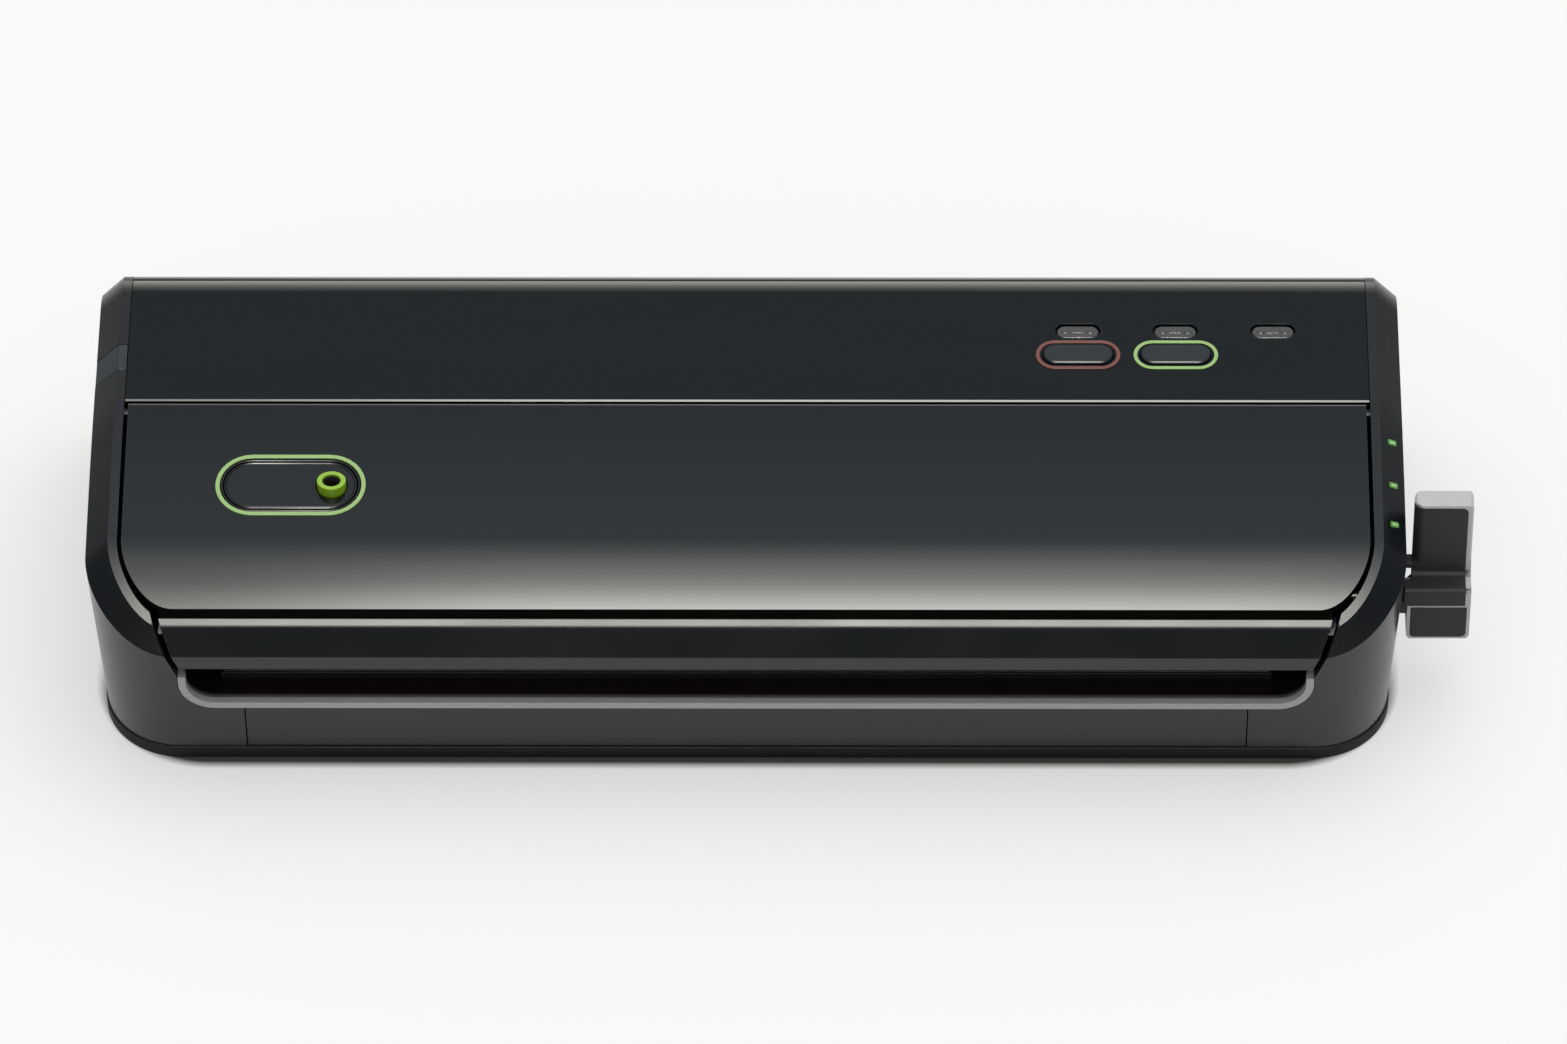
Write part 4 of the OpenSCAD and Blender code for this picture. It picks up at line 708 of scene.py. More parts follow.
def window_material(colour):
    """Smoky clear plastic of the windows over the lamps."""
    wires, shader = principled("window_clear")
    spot = wires.node("ShaderNodeTexCoord")
    haze = wires.noise(spot.outputs["Object"], 420.0, 3.0, 0.6)
    deep = tuple(c * 0.78 for c in colour)
    wires.link(wires.mix(haze, tuple(colour), deep), shader.inputs["Base Color"])
    wires.link(wires.spread(haze, 0.12, 0.26, 0.3, 0.7), shader.inputs["Roughness"])
    shader.inputs["Transmission Weight"].default_value = 0.4
    shader.inputs["IOR"].default_value = 1.49
    return shader


def lamp_material(colour):
    """Unlit lamp: pale epoxy, slightly warmer in places."""
    wires, shader = principled("lamp")
    spot = wires.node("ShaderNodeTexCoord")
    cloud = wires.noise(spot.outputs["Object"], 900.0, 2.0, 0.5)
    wires.link(wires.mix(cloud, tuple(colour), (0.95, 0.9, 0.78)), shader.inputs["Base Color"])
    wires.link(wires.spread(cloud, 0.15, 0.3, 0.3, 0.7), shader.inputs["Roughness"])
    return shader


# ---------------------------------------------------------------- values a user may change


def swatch(name, of, colour):
    """Colour that a user may change."""
    return FloatVectorProperty(
        name=name, description="Colour of " + of, subtype="COLOR", size=3, min=0.0, max=1.0, default=colour
    )


def number(name, description, value, **more):
    """Number that a user may change."""
    return FloatProperty(name=name, description=description, default=value, **more)


class SealerFinish(bpy.types.PropertyGroup):
    """Colours of the sealer's materials."""

    base_colour: swatch("Base tray", "the base tray and inner frame", (0.0040, 0.0038, 0.0036))
    cap_colour: swatch("End caps", "the end caps and rear cover", (0.0026, 0.0038, 0.0054))
    inset_colour: swatch("Cap inset", "the inset in the left cap", (0.014, 0.020, 0.025))
    front_colour: swatch("Front panel", "the front panel", (0.0050, 0.0052, 0.0074))
    fascia_colour: swatch("Fascia", "the lid's frame and fascia", (0.0034, 0.0048, 0.0060))
    liner_colour: swatch("Lid liner", "the liner inside the lid", (0.028, 0.030, 0.033))
    gloss_colour: swatch("Glossy covers", "the lid and the control panel", (0.0020, 0.0030, 0.0038))
    plate_colour: swatch("Accessory plate", "the plate round the accessory port", (0.0025, 0.0032, 0.0038))
    plate_edge_colour: swatch("Accessory plate edge", "the fine line on the plate", (0.008, 0.008, 0.009))
    deck_colour: swatch("Deck", "the deck's rim", (0.32, 0.32, 0.312))
    # Dark rear of the deck, which also stands for painted shade under the fascia
    deck_dark_and_shade_colour: swatch("Deck behind the rim", "the deck behind its rim", (0.0050, 0.0050, 0.0050))
    tray_colour: swatch("Drip tray", "the lift-out drip tray", (0.020, 0.021, 0.023))
    gasket_colour: swatch("Gaskets", "the gaskets", (0.010, 0.010, 0.010))
    foot_colour: swatch("Feet", "the rubber feet", (0.008, 0.008, 0.008))
    dome_colour: swatch("Button domes", "the button domes", (0.25, 0.25, 0.25))
    hose_colour: swatch("Hoses", "the hose and duct", (0.52, 0.52, 0.48))
    pressure_colour: swatch("Pressure strip", "the strip that presses on the seal", (0.25, 0.03, 0.02))
    heater_colour: swatch("Heating strip", "the heating strip", (0.62, 0.58, 0.50))
    tape_colour: swatch("Release tape", "the release tape", (0.05, 0.035, 0.02))
    motor_colour: swatch("Motor", "the motor's can", (0.55, 0.56, 0.58))
    bracket_colour: swatch("Brackets", "brackets, hooks and catches", (0.50, 0.51, 0.53))
    shaft_colour: swatch("Shafts", "pins and shafts", (0.62, 0.63, 0.65))
    pin_colour: swatch("Hinge pins", "the blackened hinge pins", (0.035, 0.035, 0.037))
    screw_colour: swatch("Screws", "the screws", (0.48, 0.48, 0.50))
    pump_colour: swatch("Pump", "the pump's head", (0.05, 0.055, 0.06))
    valve_colour: swatch("Valve", "the check valve", (0.60, 0.60, 0.56))
    capacitor_colour: swatch("Capacitors", "the capacitor sleeves", (0.015, 0.025, 0.10))
    mark_colour: swatch("Position marks", "the lever's position marks", (0.07, 0.24, 0.035))
    mark_core_colour: swatch("Mark cores", "the middle of the position marks", (0.30, 0.50, 0.24))
    green_trim_colour: swatch("Green outlines", "the green outlines", (0.25, 0.40, 0.13))
    red_trim_colour: swatch("Red outline", "the seal button's outline", (0.155, 0.048, 0.038))
    port_colour: swatch("Accessory port", "the accessory port", (0.20, 0.37, 0.010))
    lever_colour: swatch("Lever", "the lever's shell", (0.38, 0.38, 0.37))
    lever_dark_colour: swatch("Lever cover", "the lever's cover", (0.024, 0.0245, 0.027))
    button_colour: swatch("Buttons", "the button caps", (0.013, 0.017, 0.0185))
    fan_colour: swatch("Fan", "the cooling fan", (0.70, 0.70, 0.66))
    iron_colour: swatch("Transformer", "the transformer's core", (0.16, 0.14, 0.12))
    board_colour: swatch("Circuit boards", "the circuit boards", (0.01, 0.10, 0.04))
    window_colour: swatch("Windows", "the windows over the lamps", (0.095, 0.10, 0.103))
    lamp_colour: swatch("Lamps", "the unlit lamps", (0.9, 0.9, 0.86))


class SealerEdges(bpy.types.PropertyGroup):
    """Softness of moulded edges."""

    cover_edge: number("Cover edges", "Bevel along the edges of the end caps", 0.45 * MM, unit="LENGTH")
    lid_edge: number("Lid edge", "Bevel along the rim of the glossy lid", 0.25 * MM, unit="LENGTH")


class SealerStudio(bpy.types.PropertyGroup):
    """Camera, floor and light."""

    floor_colour: swatch("Floor", "the floor", (0.34, 0.34, 0.337))
    floor_glow: number("Floor glow", "Light that the floor gives off evenly", 0.465, min=0.0)
    softbox: number("Softbox", "Brightness of the softbox high in front", 13.4, min=0.0)
    softbox_half: number("Softbox width", "Reach of the softbox to each side", 0.36, min=0.05)
    back_card: number("Back card", "Brightness of the white card low behind", 2.3, min=0.0)
    top_light: number("Top light", "Brightness of the broad light above", 2.9, min=0.0)
    fill: number("Fill", "Brightness of the fill on matt surfaces", 0.68, min=0.0)
    room: number("Room", "Brightness of the room in reflections", 0.41, min=0.0)
    camera_place: FloatVectorProperty(
        name="Camera", description="Place of the camera", subtype="TRANSLATION", unit="LENGTH",
        default=(0.04188, -2.13538, 2.36298),
    )
    camera_pitch: number(
        "Pitch", "Angle of the camera below the horizon", math.radians(47.505), subtype="ANGLE"
    )
    camera_yaw: number("Yaw", "Turn of the camera to the right", math.radians(-0.845), subtype="ANGLE")
    camera_roll: number("Roll", "Roll of the camera", math.radians(-0.561), subtype="ANGLE")
    lens: number("Lens", "Focal length of the camera in millimetres", 248.6)


# ---------------------------------------------------------------- operators


class SEALER_OT_materials(bpy.types.Operator):
    """Makes the sealer's materials and their shared shader groups"""

    bl_idname = "sealer.materials"
    bl_label = "Materials"

    def execute(self, context):
        finish = context.scene.sealer_finish
        trees = {key: make() for key, make in GROUPS.items()}
        for slot, (group, colour, factor, low, high, bump, extras) in FINISHES.items():
            shader = finish_material(
                slot, trees[group], tuple(getattr(finish, colour)), factor, low, high, bump, extras
            )
            if slot in METALS:
                shader.inputs["Metallic"].default_value = METALS[slot]
        for name, level in DULL.items():
            find_node(name, "BSDF_PRINCIPLED").inputs["Specular IOR Level"].default_value = level
        # The deck's dark rear, partly painted shade under the fascia
        dark_rear_and_painted_shade("deck_grey", tuple(finish.deck_dark_and_shade_colour), DECK_DARK_AND_SHADE_Y)
        window_material(tuple(finish.window_colour))
        lamp_material(tuple(finish.lamp_colour))
        return {"FINISHED"}


class SEALER_OT_lid(bpy.types.Operator):
    """Makes the glossy lid with its falling nose, hinge roll and accessory pocket"""

    bl_idname = "sealer.lid"
    bl_label = "Lid"

    def execute(self, context):
        bm = fresh()
        plan_face(bm, LID_SIDE, LID_FRONT, SEAM_Y, steps=36)
        rows = {round(v.co.y, 5) for v in bm.verts}
        rows |= {FRONT_Y + LID_FRONT + (NOSE_L + 2) * i / 44 for i in range(1, 44)}
        rows |= {KNEE_Y + 2 + (FLAT_L - 2) * i / 16 for i in range(1, 16)}
        for y in sorted(rows):
            bmesh.ops.bisect_plane(
                bm, geom=everything(bm), dist=1e-4, plane_co=(0, y, 0), plane_no=(0, 1, 0)
            )
        for v in bm.verts:
            v.co.z = top_z(v.co.y) - (LIP_DROP if v.co.y < FRONT_Y + LID_FRONT + 0.01 else 0.0)
        out = bmesh.ops.extrude_face_region(bm, geom=bm.faces[:], use_keep_orig=True)["geom"]
        lower = [g for g in out if isinstance(g, bmesh.types.BMVert)]
        bmesh.ops.translate(bm, vec=(0, 0, -LID_T), verts=lower)
        # The rim is undercut, so that the gap below it stays dark
        bmesh.ops.translate(bm, vec=(0, -SEAM_Y, 0), verts=lower)
        inset = (1 - LID_UNDERCUT / LID_HALF, 1 - LID_UNDERCUT / (SEAM_Y - FRONT_Y - LID_FRONT), 1)
        bmesh.ops.scale(bm, vec=inset, verts=lower)
        bmesh.ops.translate(bm, vec=(0, SEAM_Y, 0), verts=lower)
        bmesh.ops.recalc_face_normals(bm, faces=bm.faces)
        roll = rod_x(-LID_HALF, LID_HALF, SEAM_Y, HINGE_Z, HINGE_R, 96)
        pocket = pill_block(PORT_PLATE[0] + 0.6, PORT_PLATE[1] + 0.6, -1.2, 4.0)
        tube = rod_z(-8.0, 6.0, TUBE_R + 0.1)
        steps = [
            ("UNION", roll),
            ("DIFFERENCE", on_port(pocket, PORT_X)),
            ("DIFFERENCE", on_port(tube, TUBE_X)),
            ("DIFFERENCE", rod_x(LID_HALF - 15, LID_HALF + 1, SEAM_Y, HINGE_Z, PIN_R, 32)),
            ("DIFFERENCE", rod_x(-LID_HALF - 1, 15 - LID_HALF, SEAM_Y, HINGE_Z, PIN_R, 32)),
        ]
        bm = combine(bm, steps)
        bmesh.ops.remove_doubles(bm, verts=bm.verts, dist=0.003)
        make_piece(
            "lid_cover", bm, "lid", "gloss_black", ["lid_panel"],
            bevel=context.scene.sealer_edges.lid_edge / MM, limit=38, smooth=38,
        )
        return {"FINISHED"}


class SEALER_OT_control_panel(bpy.types.Operator):
    """Makes the glossy panel of the controls with its rounded back edge and openings"""

    bl_idname = "sealer.control_panel"
    bl_label = "Control panel"

    def execute(self, context):
        inner_y, inner_z = BACK_Y - WALL, TOP_Z - WALL
        corners = [
            (PANEL_EDGE_Y, inner_z),
            (PANEL_EDGE_Y, TOP_Z - PANEL_CHAMFER),
            (PANEL_EDGE_Y + PANEL_CHAMFER, TOP_Z),
            (BACK_Y, TOP_Z),
            (BACK_Y, PANEL_LOW_Z),
            (inner_y, PANEL_LOW_Z),
            (inner_y, inner_z),
        ]
        bm = bar_x(-PANEL_HALF, PANEL_HALF, corners, (0, 0, 0, BACK_R, 0, 0, BACK_R - WALL), 32)
        xs = [CONTROL_X + i * CONTROL_PITCH for i in range(3)]
        steps = [("UNION", pill_block(BUTTON[0] + 4, BUTTON[1] + 4, 69.5, 73.0, x, BUTTON_Y)) for x in xs[:2]]
        for size, play, places, y in ((BUTTON, 0.8, xs[:2], BUTTON_Y), (WINDOW, 0.9, xs, WINDOW_Y)):
            for x in places:
                steps.append(("DIFFERENCE", pill_block(size[0] + play, size[1] + play, 65, 80, x, y)))
        steps.append(("DIFFERENCE", rod_x(-HALF_W, HALF_W, SEAM_Y, HINGE_Z, HINGE_R + 0.4, 96)))
        bm = combine(bm, steps)
        bmesh.ops.remove_doubles(bm, verts=bm.verts, dist=0.003)
        make_piece(
            "control_cover", bm, "housing", "gloss_black", ["control_panel"],
            bevel=0.35, limit=50, smooth=38, crisp=True,
        )
        return {"FINISHED"}


# piece: (node, body, slot, edge bevel in mm)
HOUSING = {
    "cap_inset_moulding": ("left_cap_inset", "housing", "inset_plastic", 0.25),
    "front_panel_moulding": ("front_panel", "housing", "front_plastic", 0.4),
    "rear_cover_moulding": ("rear_cover", "housing", "cap_plastic", 0.35),
    "base_tray_moulding": ("base_tray", "housing", "base_plastic", 0.4),
    "inner_frame_moulding": ("inner_frame", "housing", "base_plastic", 0.3),
    "cord_gland_moulding": ("cord_gland", "housing", "gasket_rubber", 0.4),
    "foot_pads": ("rubber_feet", "housing", "foot_rubber", 0.5),
}
DECK = {
    "deck_moulding": ("deck", "housing", "deck_grey", 0.5),
    "drip_tray_floor": ("drip_tray", "housing", "tray_grey", 0.3),
    "drip_tray_rim": ("drip_tray_wall", "housing", "tray_grey", 0.35),
    "deck_gasket": ("lower_gasket", "housing", "gasket_rubber", 0.9),
    "seal_bar_body": ("seal_bar", "housing", "base_plastic", 0.3),
    "heater_ribbon": ("heating_strip", "housing", "heater_metal", 0.05),
    "release_tape_band": ("release_tape", "housing", "release_tape", 0.08),
}
LID_PARTS = {
    "lid_liner_moulding": ("lid_liner", "lid", "liner_plastic", 0.35),
    "lid_gasket": ("upper_gasket", "lid", "gasket_rubber", 0.9),
    "pressure_bar": ("pressure_strip", "lid", "pressure_rubber", 0.5),
    "port_duct": ("accessory_duct", "lid", "hose_rubber", 0.25),
    "catch_plates": ("lid_catches", "lid", "bracket_steel", 0.25),
    "lid_screw_set": ("lid_screws", "lid", "screw_steel", 0.18),
}
CONTROLS = {
    "seal_button_outline": ("seal_button_trim", "housing", "red_trim", 0.1),
    "vacuum_button_outline": ("vacuum_button_trim", "housing", "green_trim", 0.1),
    "lamp_set": ("indicator_leds", "housing", "lamp", 0.25),
    "seal_dome": ("seal_button_dome", "housing", "dome_rubber", 0.0),
    "vacuum_dome": ("vacuum_button_dome", "housing", "dome_rubber", 0.0),
}
LATCH = {
    "lever_fixing": ("lever_screw", "lever", "screw_steel", 0.18),
    "lever_spindle": ("latch_shaft", "lever", "shaft_steel", 0.25),
    "link_bar": ("latch_link", "latch_link", "bracket_steel", 0.2),
    "cross_spindle": ("cross_shaft", "cross_shaft", "shaft_steel", 0.25),
    "hook_plates": ("latch_hooks", "cross_shaft", "bracket_steel", 0.25),
    "latch_microswitch": ("latch_switch", "housing", "base_plastic", 0.25),
    "hinge_pin_pair": ("hinge_pins", "housing", "pin_steel", 0.25),
}
WORKS = {
    "motor_can": ("pump_motor", "housing", "motor_steel", 0.8),
    "pump_block": ("pump_head", "housing", "pump_plastic", 0.8),
    "motor_cradle": ("pump_bracket", "housing", "bracket_steel", 0.3),
    "hose_run": ("vacuum_hose", "housing", "hose_rubber", 0.2),
    "check_valve": ("valve_block", "housing", "valve_plastic", 0.2),
    "main_circuit": ("main_board", "housing", "circuit_board", 0.2),
    "transformer_core": ("transformer", "housing", "transformer_iron", 0.5),
    "capacitor_set": ("capacitors", "housing", "capacitor_sleeve", 0.6),
    "button_circuit": ("button_board", "housing", "circuit_board", 0.2),
    "button_switch_set": ("button_switches", "housing", "base_plastic", 0.25),
    "rotor_spindle": ("motor_shaft", "rotor", "shaft_steel", 0.25),
    "fan_wheel": ("cooling_fan", "rotor", "fan_plastic", 0.3),
    "base_screw_set": ("base_screws", "housing", "screw_steel", 0.18),
    "rear_screw_set": ("rear_screws", "housing", "screw_steel", 0.18),
}


def soften_nodes(rows):
    """Welded copies of frame nodes with softened edges, each standing for its node."""
    for name, (node, body, slot, bevel) in rows.items():
        make_piece(name, copy_of(node), body, slot, [node], bevel=bevel)


def cap_stations():
    """Places along an end cap: point of the outline, its facing, and turn of the rounded back edge."""
    front = FRONT_Y + CORNER_R
    pace = (HALF_W - CORNER_R - CAP_IN_X) / 4
    stations = [(CAP_IN_X + pace * i, FRONT_Y, 0.0, -1.0, 0.0) for i in range(4)]
    for i in range(29):
        a = math.radians(90 * i / 28 - 90)
        x = HALF_W - CORNER_R + CORNER_R * math.cos(a)
        stations.append((x, front + CORNER_R * math.sin(a), math.cos(a), math.sin(a), 0.0))
    stations += [(HALF_W, front + (ROUND_Y - front) * i / 16, 1.0, 0.0, 0.0) for i in range(1, 17)]
    for i in range(1, 17):
        t = math.radians(90 * i / 16)
        stations.append((HALF_W, ROUND_Y + BACK_R * math.sin(t), 1.0, 0.0, t))
    return stations


def cap_section(x, y, nx, ny, t):
    """Section of an end cap at a station: wall, crease, band, rim and the way back inside."""
    rim = top_z(y - BEVEL_FRONT * ny) if t == 0 else TOP_Z - BACK_R + BACK_R * math.cos(t)
    inner_rim = top_z(y - RIM_FRONT * ny) if t == 0 else rim
    crease = rim - BEVEL_DROP
    back, down = -WALL * math.sin(t), WALL * math.cos(t)

    def at(dx, dy, z, shift=0.0):
        return Vector((x - dx * nx, y - dy * ny + shift, z))

    return [
        at(WALL_LEAN, WALL_LEAN, SKIRT_Z),
        at(0, 0, crease),
        at(BEVEL_SIDE, BEVEL_FRONT, rim),
        at(RIM_SIDE, RIM_FRONT, inner_rim),
        at(RIM_SIDE, RIM_FRONT, inner_rim - down, back),
        at(BEVEL_SIDE + 1, BEVEL_FRONT + 1, rim - down, back),
        at(WALL, WALL, crease - 0.4 * down, back),
        at(WALL_LEAN + WALL, WALL_LEAN + WALL, SKIRT_Z + 2, back),
        at(RIM_SIDE, RIM_FRONT + 4, SKIRT_Z + 2, back),
        at(RIM_SIDE, RIM_FRONT + 4, SKIRT_Z),
    ]


def cap_shape():
    """Right end cap: its section swept from the front joint round the corner and along the side."""
    bm = fresh()
    stations = cap_stations()
    points = cap_section(*stations[0])
    loop = [bm.verts.new(point) for point in points]
    edges = [bm.edges.new((a, b)) for a, b in zip(loop, loop[1:] + loop[:1])]
    bmesh.ops.contextual_create(bm, geom=edges)
    for station in stations[1:]:
        out = bmesh.ops.extrude_edge_only(bm, edges=edges)["geom"]
        moved = [g for g in out if isinstance(g, bmesh.types.BMVert)]
        for v, after in zip(moved, cap_section(*station)):
            v.co = after
        edges = [g for g in out if isinstance(g, bmesh.types.BMEdge) and all(v in moved for v in g.verts)]
    bmesh.ops.contextual_create(bm, geom=edges)
    bmesh.ops.recalc_face_normals(bm, faces=bm.faces)
    return bm


def cap_steps(right):
    """Openings, cheek, shelf and bosses of an end cap, as drawn for the right-hand side."""
    end = [(180.5, SKIRT_Z), (186.4, SKIRT_Z), (HALF_W, 51.2), (183.2, 59.0), (180.5, 59.0)]
    mouth = [(100, SHELF_Z), (163.47, SHELF_Z), (177.98, 80), (100, 80)]
    shelf = [(165, SHELF_LOW_Z), (187, SHELF_LOW_Z), (187.2, SHELF_Z), (165, SHELF_Z)]
    deck_room = [(90, 24), (163.8, 24), (163.8, 57), (90, 57)]
    steps = [
        ("UNION", bar_y(BACK_Y - WALL, BACK_Y, end, (0,) * 5)),
        ("DIFFERENCE", bar_y(-75, -50, mouth, (0,) * 4)),
        ("UNION", block(*CHEEK_X, *CHEEK_Y, SKIRT_Z, SHELF_Z)),
        ("UNION", block(165.0, 183.0, -37.4, CHEEK_Y[1], SKIRT_Z, SKIRT_Z + 2)),
        ("UNION", bar_y(-41.4, CHEEK_Y[1], shelf, (0,) * 4)),
        ("UNION", block(165.0, 174.0, CHEEK_Y[0], -40.0, SHELF_LOW_Z, SHELF_Z)),
        ("UNION", place(rod_z(SKIRT_Z, 17.0, 3.6), (*SCREW_AT, 0))),
        ("DIFFERENCE", place(rod_z(0.0, 16.0, SCREW_R), (*SCREW_AT, 0))),
        ("DIFFERENCE", bar_y(-75, -50, deck_room, (0, RIM_R + 0.2, 0, 0), 24)),
        ("DIFFERENCE", block(167.5, 175.1, -49.0, -20.5, SHELF_Z - 5, SHELF_Z + 1)),
        ("DIFFERENCE", rod_x(160, 167, *CROSS_AXIS, 2.55)),
        ("DIFFERENCE", rod_x(170, 183.8, SEAM_Y, HINGE_Z, 1.5)),
    ]
    if right:
        steps += [
            ("UNION", rod_x(181.1, 187.5, *LEVER_AXIS, 7.0)),
            ("DIFFERENCE", rod_x(170, 200, *LEVER_AXIS, SPINDLE_R + 0.05)),
            ("DIFFERENCE", block(174.1, 180.7, -43.0, -24.0, 34.3, SHELF_Z + 1)),
        ]
        for y in MARK_Y:
            seat = mark_prism(MARK[0] + 0.2, MARK[1] + 0.2, -2.0, 3.0)
            steps.append(("DIFFERENCE", on_band(seat, y)))
    else:
        steps.append(("DIFFERENCE", block(179.0, 192.0, *INSET_Y, 66.6, 76.0)))
    return steps


def mark_prism(length, width, z0, z1, radius=0.5):
    """Small slanted block with rounded corners, drawn about the origin."""
    x, y, rise = length / 2, width / 2, 0.36 * length / 2
    corners = [(-x, -y - rise), (x, rise - y), (x, y + rise), (-x, y - rise)]
    return place(prism(corners, (radius,) * 4, z1 - z0, 6), (0, 0, z0))


def on_band(bm, y):
    """Moves a shape drawn about the origin onto the band of the right-hand cap."""
    rise = math.atan(top_z(y - 0.5) - top_z(y + 0.5))
    turn = Matrix.Rotation(-rise, 3, "X") @ Matrix.Rotation(math.atan(BEVEL_DROP / BEVEL_SIDE), 3, "Y")
    return place(bm, (HALF_W - BEVEL_SIDE / 2, y, top_z(y) - BEVEL_DROP / 2), turn)


def mirrored(bm):
    """Shape of the other side."""
    bmesh.ops.scale(bm, vec=(-1, 1, 1), verts=bm.verts)
    bmesh.ops.reverse_faces(bm, faces=bm.faces)
    return bm


class SEALER_OT_end_caps(bpy.types.Operator):
    """Makes the two end caps with their crisp crease, and the lever's position marks"""

    bl_idname = "sealer.end_caps"
    bl_label = "End caps"

    def execute(self, context):
        edge = context.scene.sealer_edges.cover_edge / MM
        right = combine(cap_shape(), cap_steps(True))
        left = mirrored(combine(cap_shape(), cap_steps(False)))
        for name, bm, node in (("right_cap", right, "right_end_cap"), ("left_cap", left, "left_end_cap")):
            bmesh.ops.remove_doubles(bm, verts=bm.verts, dist=0.003)
            make_piece(
                name, bm, "housing", "cap_plastic", [node],
                bevel=edge, segments=4, limit=13, smooth=13,
            )
        marks, cores = fresh(), fresh()
        for y in MARK_Y:
            add_shape(marks, on_band(mark_prism(*MARK, -0.9, 0.2), y))
            add_shape(cores, on_band(mark_prism(MARK[0] - 1.2, MARK[1] - 1.1, 0.0, 0.26, 0.3), y))
        make_piece(
            "position_mark_frames", marks, "housing", "green_mark", ["position_marks"],
            bevel=0.08, segments=2,
        )
        make_piece(
            "position_mark_cores", cores, "housing", "mark_core", bevel=0.06, segments=2
        )
        return {"FINISHED"}


class SEALER_OT_housing(bpy.types.Operator):
    """Makes the cap inset, front panel, rear cover, base tray and plinth, inner frame, gland and feet"""

    bl_idname = "sealer.housing"
    bl_label = "Housing"

    def execute(self, context):
        soften_nodes(HOUSING)
        plinth, inner = fresh(), fresh()
        raise_face(plinth, plan_face(plinth, PLINTH_IN, PLINTH_IN, ROUND_Y), 4.5)
        raise_face(inner, plan_face(inner, PLINTH_IN + 3, PLINTH_IN + 3, BACK_Y), 9.0)
        plinth = combine(place(plinth, (0, 0, 0.2)), [("DIFFERENCE", place(inner, (0, 0, -2)))])
        make_piece(
            "plinth_moulding", plinth, "housing", "base_plastic", ["base_tray"], bevel=0.4
        )
        return {"FINISHED"}


class SEALER_OT_deck(bpy.types.Operator):
    """Makes the sealing deck with its drip tray, gasket, seal bar, heater and tape"""

    bl_idname = "sealer.deck"
    bl_label = "Sealing deck"

    def execute(self, context):
        soften_nodes(DECK)
        return {"FINISHED"}


def fascia_shape():
    """Front of the lid's frame: a narrow strip that faces up, the band, and a lower edge that turns under."""
    crease = top_z(FRONT_Y + BEVEL_FRONT) - BEVEL_DROP
    low_y = FRONT_Y + WALL_LEAN * (crease - FASCIA_Z) / (crease - SKIRT_Z)
    strip_in, strip_out, joint = FASCIA_CUT_Y - 2.8, FRONT_Y + BEVEL_FRONT + 0.8, FASCIA_CUT_Y
    corners = [
        (joint, top_z(joint) - 2.7),
        (strip_in + 0.4, top_z(strip_in) - 3.4),
        (strip_in, top_z(strip_in)),
        (strip_out, top_z(strip_out)),
        (FRONT_Y, crease),
        (low_y, FASCIA_Z),
        (low_y + 2.6, FASCIA_Z),
        (FRONT_Y + 2.6, crease - 0.8),
        (strip_in, top_z(strip_in) - 5.0),
        (joint, top_z(joint) - 4.5),
    ]
    section = bar_x(-HALF_W, HALF_W, corners, (0, 0, 0.25, 5.0, 0.6, 0.4, 0, 0, 0, 0), 8)
    slope = (FASCIA_HALF[1] - FASCIA_HALF[0]) / (top_z(FRONT_Y + BEVEL_FRONT) - FASCIA_Z)
    high = FASCIA_HALF[0] + slope * (TOP_Z - FASCIA_Z)
    low = FASCIA_HALF[0]
    face = [(low, FASCIA_Z - 2), (low, FASCIA_Z), (high, TOP_Z)]
    face = [(-low, FASCIA_Z - 2), *face, (-high, TOP_Z), (-low, FASCIA_Z)]
    return combine(section, [("INTERSECT", bar_y(-75, -50, face, (0,) * 6))])


class SEALER_OT_lid_parts(bpy.types.Operator):
    """Makes the lid's frame, fascia, liner, gasket, pressure strip, duct, catches and screws"""

    bl_idname = "sealer.lid_parts"
    bl_label = "Lid parts"

    def execute(self, context):
        soften_nodes(LID_PARTS)
        front, groove = (
            combine(fascia_shape(), [(operation, block(-200, 200, GROOVE_Y, -40, 0, 90))])
            for operation in ("DIFFERENCE", "INTERSECT")
        )
        make_piece("fascia_groove", groove, "lid", "shaded_plastic", ["lid_frame"])
        make_piece(
            "fascia_moulding", front, "lid", "fascia_plastic", ["lid_frame"],
            bevel=0.22, segments=3, limit=30, smooth=30,
        )
        ahead = block(-200, 200, -80, FASCIA_CUT_Y, 0, 90)
        rest = tidy_flats(combine(copy_of("lid_frame"), [("DIFFERENCE", ahead)]))
        make_piece(
            "lid_frame_moulding", rest, "lid", "shaded_plastic", ["lid_frame"], bevel=0.3
        )
        return {"FINISHED"}


# Rings of the port from outside in: length, width, thickness, lowest and highest level, finish, edge
PORT_RINGS = {
    "port_outline": (43.4, 21.5, 1.25, -0.3, 0.28, "green_trim", 0.1),
    "port_lip": (40.2, 18.3, 0.5, -0.9, 0.06, "plate_edge", 0.1),
    "port_line": (38.3, 16.4, 0.6, -0.9, 0.12, "plate_edge", 0.2),
}
# Plates inside them: length, width, lowest and highest level, gap round the tube, finish, edge
PORT_PLATES = {
    "port_plate_base": (*PORT_PLATE, -1.15, -0.85, 0.1, "shaded_plastic", 0.0),
    "port_plate": (37.1, 15.2, -0.84, -0.05, 0.35, "plate_black", 0.22),
}


def pill_ring(outer, inner, z0, z1):
    """Ring with straight sides and half-round ends, drawn about the origin."""
    hole = pill_block(inner[0], inner[1], z0 - 1, z1 + 1)
    return combine(pill_block(outer[0], outer[1], z0, z1), [("DIFFERENCE", hole)])


def slope_mouth(bm):
    """Leans the upper end of a tube drawn about the origin towards the back."""
    for v in bm.verts:
        if v.co.z > 0:
            v.co.z -= 0.3 * v.co.y


